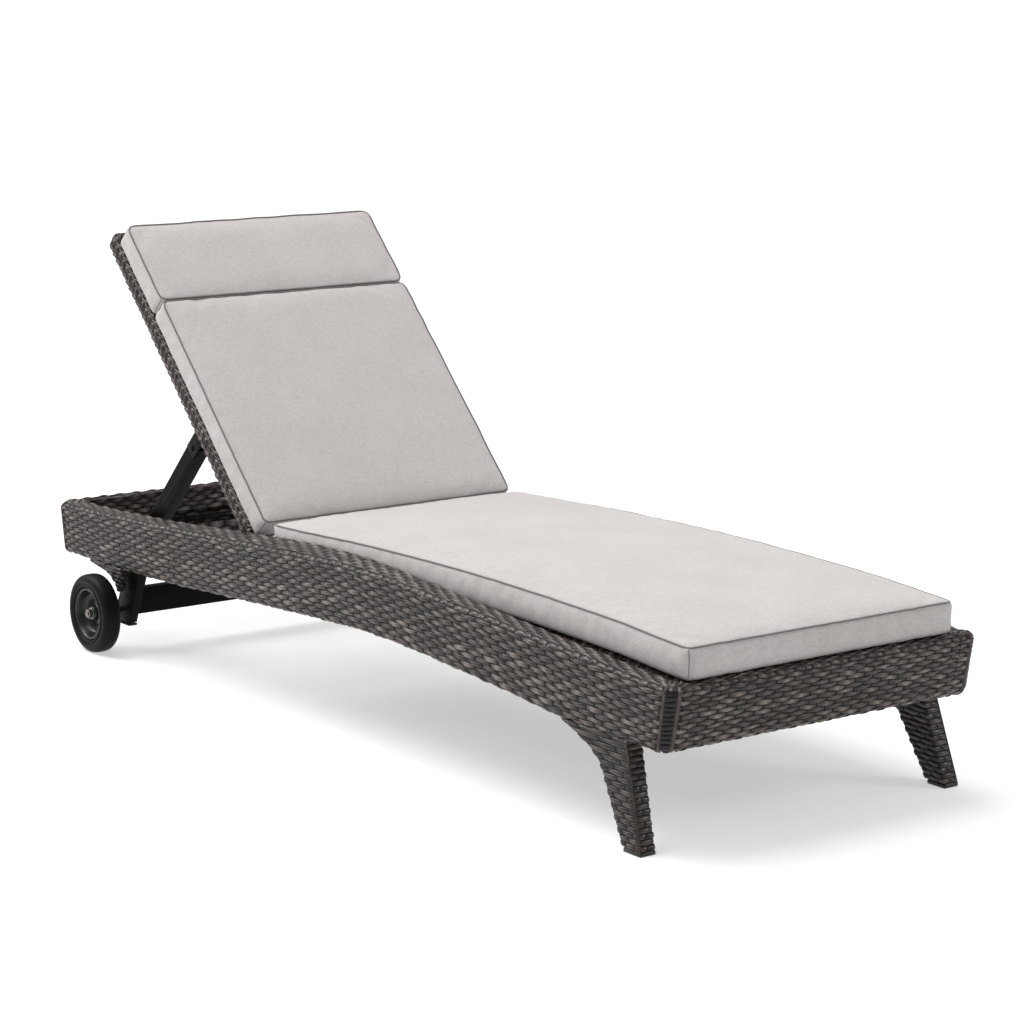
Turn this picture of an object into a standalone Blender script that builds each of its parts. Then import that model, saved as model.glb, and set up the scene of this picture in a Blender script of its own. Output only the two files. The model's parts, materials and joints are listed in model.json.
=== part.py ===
"""Reclining sun lounger: woven base with wheels, hinged backrest, propped by a stay in a notched rack.

Run with: blender --background --python part.py
Metres, +Z up. The foot end faces -Y, the head end +Y, left is -X. The origin is on the ground at the centre.
"""

import math

import bmesh
import bpy
from mathutils import Vector

# ---- driving dimensions ----
BASE_LENGTH = 1.985
BASE_WIDTH = 0.66
RAIL_WIDTH = 0.0445
END_SLOPE = 0.022  # how far the end faces lean in from top to bottom
CORNER_RADIUS = 0.022
SKIN = 0.003  # woven wall
GAP = 0.0004  # between neighbouring pieces
INNER_LIP = 0.045  # depth of the weave on the inner side of the upper tube
LOWER_LIP = 0.030

SEAT_THICKNESS = 0.058
SEAT_HALF_WIDTH = 0.284
SEAT_FRONT = -0.976
SEAT_REAR = 0.228
DECK_THICKNESS = 0.005

RECLINE = math.radians(45.7)  # backrest above horizontal
HINGE = Vector((0.0, 0.290, 0.280))
BACK_HALF_WIDTH = 0.2805
BACK_LENGTH = 0.757
BACK_FRONT = 0.012
BACK_REAR = -0.030
BORDER = 0.033  # width of the woven border across X
WEAVE_START = 0.036  # the tubes are bare below this, at the hinge
BACK_CUSHION_HALF = 0.2835
BACK_CUSHION_DEPTH = 0.046
BACK_CUSHION_START = 0.014
NECK_SEAM = 0.544
BACK_CUSHION_END = 0.731

PROP_AT = 0.280  # along the backrest from the hinge
PROP_BEHIND = 0.065
PROP_LENGTH = 0.330
PROP_SLOPE = math.radians(45.9)  # below horizontal
PROP_SIZE = 0.024
PROP_DEPTH = 0.036
PROP_OUTER = 0.271
BAR_RADIUS = 0.008
PIN_RADIUS = 0.004

RACK_INNER = 0.2815
RACK_OUTER = 0.2845
RACK_STEPS = (5, 15, 25, 35, 45.7, 56, 65.7)  # backrest angles with a notch, in degrees

WHEEL_RADIUS = 0.0785
WHEEL_Y = 0.778
WHEEL_OUTER = 0.381
WHEEL_WIDTH = 0.040
RIM_RADIUS = 0.052
BORE_RADIUS = 0.0064
AXLE_RADIUS = 0.0060

HALF = BASE_LENGTH / 2
OUTER_X = BASE_WIDTH / 2
INNER_X = OUTER_X - RAIL_WIDTH
SIDES = {"left": -1, "right": 1}


# ---- profiles along the length ----
def smooth(points):
    """A function of y: a smooth curve through the points, level at both ends."""
    ys = [p[0] for p in points]
    zs = [p[1] for p in points]
    slopes = [0.0]
    for i in range(1, len(points) - 1):
        slopes.append((zs[i + 1] - zs[i - 1]) / (ys[i + 1] - ys[i - 1]))
    slopes.append(0.0)

    def height(y):
        y = min(max(y, ys[0]), ys[-1])
        i = max(k for k in range(len(ys) - 1) if ys[k] <= y)
        span = ys[i + 1] - ys[i]
        t = (y - ys[i]) / span
        a = (1 + 2 * t) * (1 - t) ** 2 * zs[i] + t * (1 - t) ** 2 * span * slopes[i]
        b = t * t * (3 - 2 * t) * zs[i + 1] - t * t * (1 - t) * span * slopes[i + 1]
        return a + b

    return height


rail_top = smooth(
    [(-HALF, 0.277), (-0.78, 0.287), (-0.45, 0.306), (-0.09, 0.319), (0.32, 0.299), (0.66, 0.281), (HALF, 0.270)]
)
rail_bottom = smooth(
    [(-HALF, 0.169), (-0.74, 0.170), (-0.50, 0.188), (-0.16, 0.205), (0.20, 0.191), (0.58, 0.171), (HALF, 0.166)]
)
cushion_top = smooth([(-0.98, 0.336), (-0.78, 0.347), (-0.42, 0.355), (-0.08, 0.350), (0.24, 0.338)])


def tilt(y):
    """How much higher the inner top edge of a side rail is than the outer one."""
    return 0.010 * math.exp(-(((y - 0.05) / 0.45) ** 2))


def deck_top(y):
    return cushion_top(y) - SEAT_THICKNESS - GAP


# ---- scene, materials and small helpers ----
for old in list(bpy.data.objects):
    bpy.data.objects.remove(old)
parts = bpy.data.collections.new("sun_lounger")
cutters = bpy.data.collections.new("cutters")
for group in (parts, cutters):
    bpy.context.scene.collection.children.link(group)


def material(name, color, roughness, metallic=0.0):
    made = bpy.data.materials.new(name)
    made.use_nodes = True
    shader = made.node_tree.nodes["Principled BSDF"]
    shader.inputs["Base Color"].default_value = (*color, 1.0)
    shader.inputs["Roughness"].default_value = roughness
    shader.inputs["Metallic"].default_value = metallic
    return made


WICKER = material("wicker", (0.085, 0.068, 0.060), 0.45)
STEEL = material("powder_coat", (0.020, 0.018, 0.017), 0.5, 0.3)
FABRIC = material("cushion_fabric", (0.52, 0.49, 0.47), 0.9)
RUBBER = material("tyre_rubber", (0.012, 0.012, 0.012), 0.75)
PLASTIC = material("wheel_plastic", (0.020, 0.019, 0.019), 0.4)
ZINC = material("zinc_hardware", (0.45, 0.44, 0.42), 0.35, 1.0)


def empty(name, location, tip=0.0, parent=None):
    made = bpy.data.objects.new(name, None)
    made.location = location
    made.rotation_euler = (tip, 0.0, 0.0)
    made.parent = parent
    parts.objects.link(made)
    return made


def place(name, mesh, look, parent=None, location=(0, 0, 0), tip=0.0):
    made = bpy.data.objects.new(name, mesh)
    made.location = location
    made.rotation_euler = (tip, 0.0, 0.0)
    made.parent = parent
    mesh.materials.append(look)
    parts.objects.link(made)
    return made


def mesh_from(name, bm):
    bm.normal_update()
    mesh = bpy.data.meshes.new(name)
    bm.to_mesh(mesh)
    bm.free()
    return mesh


def bevel(obj, width, segments=2, angle=30):
    mod = obj.modifiers.new("Bevel", "BEVEL")
    mod.width = width
    mod.segments = segments
    mod.limit_method = "ANGLE"
    mod.angle_limit = math.radians(angle)


def thicken(obj, wall):
    mod = obj.modifiers.new("Solidify", "SOLIDIFY")
    mod.thickness = wall
    mod.offset = -1
    mod.use_even_offset = True


def cube(low, high):
    """A bmesh box between two corners."""
    bm = bmesh.new()
    bmesh.ops.create_cube(bm, size=1.0)
    low, high = Vector(low), Vector(high)
    for v in bm.verts:
        v.co = Vector([(low[k] + high[k]) / 2 + v.co[k] * (high[k] - low[k]) for k in range(3)])
    return bm


def block(name, low, high, look, parent=None, round_by=0.0):
    obj = place(name, mesh_from(name, cube(low, high)), look, parent)
    if round_by:
        bevel(obj, round_by)
    return obj


def hollow(name, low, high, axis, wall, look, parent=None, closed_end=False):
    """A rectangular tube open at both ends of an axis, or closed at the high one."""
    bm = cube(low, high)
    ends = [f for f in bm.faces if abs(f.normal[axis]) > 0.9]
    if closed_end:
        ends = [f for f in ends if f.normal[axis] < 0]
    bmesh.ops.delete(bm, geom=ends, context="FACES_ONLY")
    obj = place(name, mesh_from(name, bm), look, parent)
    thicken(obj, wall)
    return obj


def rod(bm_radius, start, end, sides=16):
    """A bmesh cylinder along X from start to end."""
    bm = bmesh.new()
    length = abs(end[0] - start[0])
    bmesh.ops.create_cone(
        bm, cap_ends=True, segments=sides, radius1=bm_radius, radius2=bm_radius, depth=length
    )
    for v in bm.verts:
        x, y, z = v.co
        v.co = Vector(((start[0] + end[0]) / 2 + z, start[1] + x, start[2] + y))
    return bm


def cut(obj, name, bm, parent=None):
    """Takes the bmesh shape out of obj."""
    cutter = bpy.data.objects.new(name, mesh_from(name, bm))
    cutter.parent = parent
    cutter.hide_render = True
    cutter.display_type = "WIRE"
    cutters.objects.link(cutter)
    mod = obj.modifiers.new("Boolean", "BOOLEAN")
    mod.operation = "DIFFERENCE"
    mod.object = cutter


def sheet(rows, wall, name, look, parent=None, capped=False):
    """A shell over rows of points: a grid primitive whose points are moved onto the rows, then thickened."""
    bm = bmesh.new()
    across, along = len(rows[0]) - 1, len(rows) - 1
    bmesh.ops.create_grid(bm, x_segments=across, y_segments=along, size=1.0)
    bm.verts.ensure_lookup_table()
    grid = sorted(bm.verts, key=lambda v: (round(v.co.y, 5), round(v.co.x, 5)))
    for row, points in enumerate(rows):
        for column, point in enumerate(points):
            grid[row * (across + 1) + column].co = point
    if capped:
        for edge_row in (0, along):
            corners = grid[edge_row * (across + 1) : (edge_row + 1) * (across + 1)]
            bm.faces.new(corners if edge_row else corners[::-1])
    obj = place(name, mesh_from(name, bm), look, parent)
    thicken(obj, wall)
    return obj


def turned(name, profile, look, parent, side, steps=32):
    """A shape turned about X. The profile lists (x, radius), and side flips it outwards."""
    bm = bmesh.new()
    verts = [bm.verts.new((side * x, 0.0, radius)) for x, radius in profile]
    for i, v in enumerate(verts):
        bm.edges.new((v, verts[(i + 1) % len(verts)]))
    obj = place(name, mesh_from(name, bm), look, parent)
    mod = obj.modifiers.new("Screw", "SCREW")
    mod.axis = "X"
    mod.steps = mod.render_steps = steps
    mod.use_merge_vertices = True
    mod.merge_threshold = 0.00001
    mod.use_normal_flip = side > 0
    return obj


# ---- base: woven rails ----
def end_lean(y, z):
    """Pulls points near the ends in towards the middle as they go down."""
    depth = (rail_top(y) - z) / (rail_top(y) - rail_bottom(y))
    pull = END_SLOPE * depth * max(0.0, abs(y) - 0.90) / (HALF - 0.90)
    return math.copysign(abs(y) - pull, y)


def corner_inset(y):
    """How far the outer wall turns in near the end of a rail."""
    near = max(0.0, abs(y) - (HALF - CORNER_RADIUS))
    return CORNER_RADIUS - math.sqrt(max(0.0, CORNER_RADIUS**2 - near**2))


def rail_stations():
    turn = [HALF - CORNER_RADIUS * (1 - math.sin(math.radians(a))) for a in (0, 30, 60, 80)]
    middle = [-0.90 + 1.80 * i / 14 for i in range(15)]
    return [-y for y in reversed(turn)] + middle + turn


def side_rail(side, name):
    rows = []
    for y in rail_stations():
        top, bottom, outer = rail_top(y), rail_bottom(y), OUTER_X - corner_inset(y)
        inner_top = top + tilt(y)
        section = [
            (INNER_X, inner_top - INNER_LIP),
            (INNER_X, inner_top),
            (outer - 0.010, top + 0.001),
            (outer, top - 0.008),
            (outer, bottom + 0.008),
            (outer - 0.008, bottom),
            (INNER_X, bottom),
            (INNER_X, bottom + LOWER_LIP),
        ]
        if side < 0:
            section = section[::-1]
        rows.append([Vector((side * x, end_lean(y, z), z)) for x, z in section])
    return sheet(rows, SKIN, name, WICKER, capped=True)


def end_rail(end, name):
    """The head or foot rail, between the side rails."""
    top, bottom = rail_top(end * HALF), rail_bottom(end * HALF)
    inner = HALF - RAIL_WIDTH
    section = [
        (inner, top - INNER_LIP),
        (inner, top),
        (HALF - 0.010, top + 0.001),
        (HALF, top - 0.008),
        (HALF - END_SLOPE, bottom + 0.008),
        (HALF - END_SLOPE - 0.008, bottom),
        (inner, bottom),
        (inner, bottom + LOWER_LIP),
    ]
    if end < 0:
        section = section[::-1]
    reach = INNER_X - GAP
    rows = [[Vector((x, end * y, z)) for y, z in section] for x in (reach, -reach)]
    return sheet(rows, SKIN, name, WICKER)


def swept_tube(name, side, x_low, x_high, low_z, high_z, reach):
    """A box tube that follows the rail: low_z and high_z are functions of y."""
    count = 14
    stations = [-reach + 2 * reach * i / count for i in range(count + 1)]
    rows = []
    for y in stations:
        ring = [(x_low, low_z(y)), (x_high, low_z(y)), (x_high, high_z(y)), (x_low, high_z(y))]
        rows.append([Vector((side * x, y, z)) for x, z in ring])
    bm = cube((-1, -1, -1), (1, 1, 1))
    bmesh.ops.delete(bm, geom=[f for f in bm.faces if abs(f.normal.y) > 0.9], context="FACES_ONLY")
    long_edges = [e for e in bm.edges if abs(e.verts[0].co.y - e.verts[1].co.y) > 1]
    bmesh.ops.subdivide_edges(bm, edges=long_edges, cuts=count - 1, use_grid_fill=True)
    for v in bm.verts:
        row = rows[round((v.co.y + 1) / 2 * count)]
        high_side = (v.co.x > 0) == (side > 0)
        corner = {(False, False): 0, (True, False): 1, (True, True): 2, (False, True): 3}[
            (high_side, v.co.z > 0)
        ]
        v.co = row[corner]
    obj = place(name, mesh_from(name, bm), STEEL)
    thicken(obj, 0.0015)
    return obj


side_skins = {}
for word, side in SIDES.items():
    side_skins[word] = side_rail(side, f"side_wicker_{word}")
    side_skins[word].modifiers.new("Triangulate", "TRIANGULATE")
    swept_tube(
        f"upper_tube_{word}",
        side,
        INNER_X + SKIN + 0.002,
        OUTER_X - SKIN - 0.006,
        lambda y: rail_top(y) - 0.030,
        lambda y: rail_top(y) - 0.008,
        HALF - 0.045,
    )
    swept_tube(
        f"lower_tube_{word}",
        side,
        OUTER_X - SKIN - 0.0280,
        OUTER_X - SKIN - 0.0080,
        lambda y: rail_bottom(y) + SKIN + 0.0018,
        lambda y: rail_bottom(y) + SKIN + 0.0218,
        HALF - 0.045,
    )
for word, end in (("foot", -1), ("head", 1)):
    end_rail(end, f"{word}_wicker")
    top = rail_top(end * HALF)
    near, far = sorted((end * (HALF - 0.038), end * (HALF - 0.010)))
    reach = INNER_X - 0.001
    hollow(f"{word}_tube", (-reach, near, top - 0.028), (reach, far, top - 0.006), 0, 0.0015, STEEL)


# ---- seat deck ----
def deck_rows(low, high, count):
    stations = [low + (high - low) * i / count for i in range(count + 1)]
    reach = INNER_X - GAP
    return [[Vector((-reach, y, deck_top(y))), Vector((reach, y, deck_top(y)))] for y in stations]


DECK_FRONT = -(HALF - RAIL_WIDTH) + GAP
sheet(deck_rows(DECK_FRONT, SEAT_REAR, 12), DECK_THICKNESS, "seat_deck", WICKER)
for word, y in (("front", -0.80), ("middle", -0.30), ("rear", 0.195)):
    under = min(deck_top(y - 0.013), deck_top(y + 0.013)) - DECK_THICKNESS - 0.0006
    reach = INNER_X - GAP
    hollow(f"deck_tube_{word}", (-reach, y - 0.0125, under - 0.025), (reach, y + 0.0125, under), 0, 0.0015, STEEL)


# ---- front legs ----
FOOT_PLATE = 0.0075
LEG_TOP = 0.1685


def front_leg_edges(z):
    """Rear y, front y and outer x of a front leg at height z."""
    flare = 0.070 * (max(0.0, z - 0.115) / (LEG_TOP - 0.115)) ** 2.2
    rear = -0.888 + 0.58 * z + flare
    front = -0.936 + 0.31 * z
    outer = 0.343 - (0.343 - OUTER_X) * z / LEG_TOP
    return rear, front, outer


def ring_sleeve(name, rings, wall, look):
    """A sleeve through rectangular rings of four corners each, open at both ends."""
    bm = cube((-1, -1, -1), (1, 1, 1))
    bmesh.ops.delete(bm, geom=[f for f in bm.faces if abs(f.normal.z) > 0.9], context="FACES_ONLY")
    tall = [e for e in bm.edges if abs(e.verts[0].co.z - e.verts[1].co.z) > 1]
    count = len(rings) - 1
    bmesh.ops.subdivide_edges(bm, edges=tall, cuts=count - 1, use_grid_fill=True)
    for v in bm.verts:
        ring = rings[round((v.co.z + 1) / 2 * count)]
        v.co = Vector(ring[(v.co.x > 0, v.co.y > 0)])
    obj = place(name, mesh_from(name, bm), look)
    thicken(obj, wall)
    return obj


for word, side in SIDES.items():
    rings = []
    for z in (0.003, 0.04, 0.08, 0.115, 0.135, 0.15, 0.16, LEG_TOP + 0.003):
        rear, front, outer = front_leg_edges(z)
        xs = sorted((side * outer, side * (outer - 0.035)))
        rings.append({(i > 0, j > 0): (xs[i], (front, rear)[j], z) for i in (0, 1) for j in (0, 1)})
    sleeve = ring_sleeve(f"front_leg_wicker_{word}", rings, SKIN, WICKER)
    ends = sorted((side * 0.25, side * 0.38))
    cut(sleeve, f"leg_trim_low_{word}", cube((ends[0], -1.0, -0.05), (ends[1], -0.6, FOOT_PLATE + GAP)))
    cut(sleeve, f"leg_trim_high_{word}", cube((ends[0], -1.0, LEG_TOP), (ends[1], -0.6, 0.25)))

    tube_rings = []
    weld = rail_bottom(-0.87) + 0.002
    for z in (0.012, weld):
        rear, front, outer = front_leg_edges(min(z, 0.115))
        lean = 0.31 * max(0.0, z - 0.115)
        outer = front_leg_edges(z)[2] - SKIN - 0.002
        xs = sorted((side * outer, side * (outer - 0.024)))
        ys = (front + SKIN + 0.002 + lean, front + SKIN + 0.038 + lean)
        tube_rings.append({(i > 0, j > 0): (xs[i], ys[j], z) for i in (0, 1) for j in (0, 1)})
    ring_sleeve(f"front_leg_tube_{word}", tube_rings, 0.0015, STEEL)
    hole = [tube_rings[1][k] for k in tube_rings[1]]
    low = Vector([min(p[k] for p in hole) - 0.0005 for k in range(3)])
    high = Vector([max(p[k] for p in hole) + 0.0005 for k in range(3)])
    low.y -= 0.003
    low.z, high.z = 0.155, rail_bottom(-0.87) + SKIN + 0.0010
    cut(side_skins[word], f"front_leg_hole_{word}", cube(low, high))

    rear, front, outer = front_leg_edges(0.0)
    xs = sorted((side * outer, side * (outer - 0.035)))
    block(f"front_glide_{word}", (xs[0], front, 0.0), (xs[1], rear, FOOT_PLATE), PLASTIC, round_by=0.002)


# ---- rear legs, stretcher and wheels ----
REAR_LEG_X = (0.290, 0.308)
REAR_LEG_THICK = 0.0548
LEG_LEAN = math.radians(24)


def rear_front_face(z):
    """y of the rear leg's front face at height z."""
    return 0.7275 - (z - WHEEL_RADIUS) * math.tan(LEG_LEAN)


REAR_LEG_LOW = 0.058
for word, side in SIDES.items():
    weld = rail_bottom(0.72) + 0.0015
    xs = sorted((side * REAR_LEG_X[0], side * REAR_LEG_X[1]))
    rings = []
    for z in (REAR_LEG_LOW, weld):
        ys = (rear_front_face(z), rear_front_face(z) + REAR_LEG_THICK / math.cos(LEG_LEAN))
        rings.append({(i > 0, j > 0): (xs[i], ys[j], z) for i in (0, 1) for j in (0, 1)})
    leg = ring_sleeve(f"rear_leg_tube_{word}", rings, 0.002, STEEL)
    inside, outside = side * (REAR_LEG_X[0] - 0.01), side * (REAR_LEG_X[1] + 0.01)
    centre = (WHEEL_Y, WHEEL_RADIUS)
    hole = rod(BORE_RADIUS, (inside, *centre), (outside, *centre))
    cut(leg, f"axle_hole_{word}", hole)
    low_y = rear_front_face(weld) - 0.0006
    high_y = low_y + REAR_LEG_THICK / math.cos(LEG_LEAN) + 0.004
    low = (xs[0] - 0.0005, low_y, 0.155)
    high = (xs[1] + 0.0005, high_y, rail_bottom(0.72) + SKIN + 0.0010)
    cut(side_skins[word], f"rear_leg_hole_{word}", cube(low, high))

    low = (xs[0] - 0.001, rear_front_face(REAR_LEG_LOW) - 0.001, REAR_LEG_LOW - 0.0065)
    high = (xs[1] + 0.001, low[1] + REAR_LEG_THICK / math.cos(LEG_LEAN) + 0.002, REAR_LEG_LOW - 0.0018)
    block(f"rear_leg_cap_{word}", low, high, PLASTIC, round_by=0.002)

    # woven gusset beside the leg, an outline with a round hollow edge
    outline = [(0.750, 0.122), (0.738, 0.122), (0.730, rail_bottom(0.730) - 0.001)]
    for i in range(7):
        a = math.radians(90 * i / 6)
        outline.append((0.862 - 0.112 * math.sin(a), 0.1645 - 0.0425 * (1 - math.cos(a))))
    outline = outline[:-1]
    curve = bpy.data.curves.new(f"rear_leg_wicker_{word}", "CURVE")
    curve.dimensions = "2D"
    curve.fill_mode = "BOTH"
    curve.extrude = 0.0095
    spline = curve.splines.new("POLY")
    spline.points.add(len(outline) - 1)
    for point, (y, z) in zip(spline.points, outline):
        point.co = (y, z, 0.0, 1.0)
    spline.use_cyclic_u = True
    gusset = place(f"rear_leg_wicker_{word}", curve, WICKER, location=(side * 0.3190, 0, 0))
    gusset.rotation_euler = (math.pi / 2, 0.0, math.pi / 2)
    weld = gusset.modifiers.new("Weld", "WELD")
    weld.merge_threshold = 0.0001

reach = REAR_LEG_X[0] - GAP
front = 0.738
hollow("wheel_stretcher", (-reach, front, 0.073), (reach, front + 0.025, 0.125), 0, 0.002, STEEL)

FACE = WHEEL_OUTER
BACK_OF_WHEEL = WHEEL_OUTER - WHEEL_WIDTH
TYRE = [
    (BACK_OF_WHEEL, RIM_RADIUS + 0.004),
    (BACK_OF_WHEEL, WHEEL_RADIUS - 0.008),
    (BACK_OF_WHEEL + 0.003, WHEEL_RADIUS - 0.002),
    (BACK_OF_WHEEL + 0.008, WHEEL_RADIUS),
    (FACE - 0.008, WHEEL_RADIUS),
    (FACE - 0.003, WHEEL_RADIUS - 0.002),
    (FACE, WHEEL_RADIUS - 0.008),
    (FACE, RIM_RADIUS + 0.004),
    (FACE - 0.004, RIM_RADIUS + GAP),
    (BACK_OF_WHEEL + 0.004, RIM_RADIUS + GAP),
]
HUB = [
    (BACK_OF_WHEEL - 0.010, BORE_RADIUS),
    (BACK_OF_WHEEL - 0.010, 0.014),
    (BACK_OF_WHEEL + 0.012, 0.016),
    (BACK_OF_WHEEL + 0.012, 0.042),
    (BACK_OF_WHEEL + 0.004, 0.046),
    (BACK_OF_WHEEL + 0.004, RIM_RADIUS),
    (FACE - 0.004, RIM_RADIUS),
    (FACE - 0.002, RIM_RADIUS - 0.002),
    (FACE - 0.005, RIM_RADIUS - 0.006),
    (FACE - 0.018, 0.041),
    (FACE - 0.020, 0.018),
    (FACE - 0.012, 0.014),
    (FACE - 0.012, BORE_RADIUS),
]
for word, side in SIDES.items():
    axle = empty(f"axle_{word}", (0, WHEEL_Y, WHEEL_RADIUS))
    turned(f"tyre_{word}", TYRE, RUBBER, axle, side)
    turned(f"wheel_hub_{word}", HUB, PLASTIC, axle, side)
    bolt = [
        (REAR_LEG_X[0] - 0.0065, 0.0),
        (REAR_LEG_X[0] - 0.0065, 0.010),
        (REAR_LEG_X[0] - GAP, 0.010),
        (REAR_LEG_X[0] - GAP, AXLE_RADIUS),
        (FACE, AXLE_RADIUS),
        (FACE, 0.0),
    ]
    bm = bmesh.new()
    made = place(f"axle_bolt_{word}", mesh_from("bolt", bm), ZINC, axle)
    bm = bmesh.new()
    verts = [bm.verts.new((side * x, 0.0, radius)) for x, radius in bolt]
    for a, b in zip(verts, verts[1:]):
        bm.edges.new((a, b))
    bm.to_mesh(made.data)
    bm.free()
    mod = made.modifiers.new("Screw", "SCREW")
    mod.axis = "X"
    mod.steps = mod.render_steps = 16
    mod.use_merge_vertices = True
    mod.merge_threshold = 0.00001
    mod.use_normal_flip = side > 0
    nut = rod(0.0095, (side * (FACE - 0.0116), 0, 0), (side * (FACE - 0.0036), 0, 0), sides=6)
    nut_obj = place(f"axle_nut_{word}", mesh_from("nut", nut), ZINC, axle)
    bore = rod(AXLE_RADIUS + 0.0002, (side * (FACE - 0.03), 0, 0), (side * (FACE + 0.01), 0, 0))
    cut(nut_obj, f"nut_bore_{word}", bore, axle)


# ---- seat cushion ----
def cushion_block(name, low, high, look, round_by, parent=None, arch=None, cuts=0):
    bm = cube(low, high)
    if cuts:
        long_edges = [e for e in bm.edges if abs((e.verts[0].co - e.verts[1].co).y) > 0.2]
        bmesh.ops.subdivide_edges(bm, edges=long_edges, cuts=cuts, use_grid_fill=True)
    if arch:
        for v in bm.verts:
            v.co.z += arch(v.co.y)
    obj = place(name, mesh_from(name, bm), look, parent)
    bevel(obj, round_by, 3, 50)
    return obj


cushion_block(
    "seat_cushion",
    (-SEAT_HALF_WIDTH, SEAT_FRONT, -SEAT_THICKNESS),
    (SEAT_HALF_WIDTH, SEAT_REAR, 0.0),
    FABRIC,
    0.013,
    arch=cushion_top,
    cuts=9,
)

# ---- backrest: local X across, Y up along the back, Z out of its front ----
back = empty("back_pivot", HINGE, RECLINE)
for word, side in SIDES.items():
    outer, inner = side * BACK_HALF_WIDTH, side * (BACK_HALF_WIDTH - BORDER)
    xs = sorted((outer, inner))
    hollow(
        f"back_wicker_{word}",
        (xs[0], WEAVE_START, BACK_REAR),
        (xs[1], BACK_LENGTH, BACK_FRONT),
        1,
        SKIN,
        WICKER,
        back,
        closed_end=True,
    )
    tube_xs = (xs[0] + SKIN + 0.0005, xs[1] - SKIN - 0.0005)
    tube = hollow(
        f"back_tube_{word}",
        (tube_xs[0], -0.018, BACK_REAR + SKIN + 0.001),
        (tube_xs[1], BACK_LENGTH - SKIN - 0.001, BACK_FRONT - SKIN - 0.001),
        1,
        0.002,
        STEEL,
        back,
    )
    pin_hole = rod(0.0053, (side * 0.22, 0, 0), (side * 0.30, 0, 0))
    cut(tube, f"hinge_hole_{word}", pin_hole, back)

inner = BACK_HALF_WIDTH - BORDER - GAP
hollow(
    "back_wicker_top",
    (-inner, BACK_LENGTH - 0.036, BACK_REAR),
    (inner, BACK_LENGTH, BACK_FRONT),
    0,
    SKIN,
    WICKER,
    back,
)
hollow(
    "back_tube_top",
    (-inner, BACK_LENGTH - 0.031, BACK_REAR + 0.005),
    (inner, BACK_LENGTH - 0.005, BACK_FRONT - 0.005),
    0,
    0.0015,
    STEEL,
    back,
)
for word, along in (("middle", PROP_AT), ("bottom", 0.048)):
    low, high = (-inner, along - 0.0125, -0.022), (inner, along + 0.0125, 0.0025)
    hollow(f"back_tube_{word}", low, high, 0, 0.0015, STEEL, back)
block("back_panel", (-inner, 0.030, 0.0035), (inner, BACK_LENGTH - 0.0375, 0.0095), WICKER, back)

low_z = BACK_FRONT + GAP
for name, start, end in (
    ("back_cushion", BACK_CUSHION_START, NECK_SEAM - 0.001),
    ("headrest_cushion", NECK_SEAM + 0.001, BACK_CUSHION_END),
):
    low = (-BACK_CUSHION_HALF, start, low_z)
    high = (BACK_CUSHION_HALF, end, low_z + BACK_CUSHION_DEPTH)
    cushion_block(name, low, high, FABRIC, 0.014, back)

# ---- hinge plates and pins, on the base ----
for word, side in SIDES.items():
    pivot = empty(f"hinge_{word}", HINGE)
    xs = sorted((side * RACK_INNER, side * RACK_OUTER))
    plate = block(f"hinge_plate_{word}", (xs[0], -0.024, -0.032), (xs[1], 0.024, 0.010), STEEL, pivot)
    cut(plate, f"plate_hole_{word}", rod(0.0053, (side * 0.27, 0, 0), (side * 0.30, 0, 0)), pivot)
    pin = rod(0.0050, (side * 0.2450, 0, 0), (side * 0.2847, 0, 0))
    place(f"hinge_pin_{word}", mesh_from("pin", pin), ZINC, pivot)

# ---- prop: pivots on the back, its bar rests in the racks ----
prop = empty("prop_pivot", (0, PROP_AT, -PROP_BEHIND), -(RECLINE + PROP_SLOPE), back)
EAR = 0.003
for word, side in SIDES.items():
    outer, inner = PROP_OUTER, PROP_OUTER - PROP_SIZE
    xs = sorted((side * outer, side * inner))
    half = PROP_DEPTH / 2
    leg = hollow(
        f"prop_leg_{word}",
        (xs[0], -0.013, -half),
        (xs[1], PROP_LENGTH + 0.014, half),
        1,
        0.0018,
        STEEL,
        prop,
    )
    span = (side * (inner - 0.02), side * (outer + 0.02))
    cut(leg, f"prop_pin_hole_{word}", rod(PIN_RADIUS + 0.0003, (span[0], 0, 0), (span[1], 0, 0)), prop)
    far = PROP_LENGTH
    bar_hole = rod(BAR_RADIUS + 0.0003, (span[0], far, 0), (span[1], far, 0))
    cut(leg, f"bar_hole_{word}", bar_hole, prop)

    low_u, high_u = PROP_AT - 0.016, PROP_AT + 0.016
    base, tip_z = BACK_REAR - GAP, -PROP_BEHIND - 0.012
    ears = (side * (inner - EAR - 0.0005), side * (outer + EAR + 0.0005))
    # a U of sheet metal: down one ear, across the base, up the other
    profile = [(ears[0], tip_z), (ears[0], base), (ears[1], base), (ears[1], tip_z)]
    if side < 0:
        profile = profile[::-1]
    rows = [[Vector((x, u, z)) for x, z in profile] for u in (low_u, high_u)]
    bracket = sheet(rows, EAR, f"prop_bracket_{word}", STEEL, back)
    hole = rod(PIN_RADIUS + 0.0003, (span[0], PROP_AT, -PROP_BEHIND), (span[1], PROP_AT, -PROP_BEHIND))
    cut(bracket, f"bracket_hole_{word}", hole, back)
    pin = rod(PIN_RADIUS, (ears[0] - side * 0.001, 0, 0), (ears[1] + side * 0.001, 0, 0))
    place(f"prop_pin_{word}", mesh_from("pin", pin), ZINC, prop)

bar = rod(BAR_RADIUS, (-RACK_INNER + 0.001, PROP_LENGTH, 0), (RACK_INNER - 0.001, PROP_LENGTH, 0))
place("prop_bar", mesh_from("prop_bar", bar), STEEL, prop)


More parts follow.
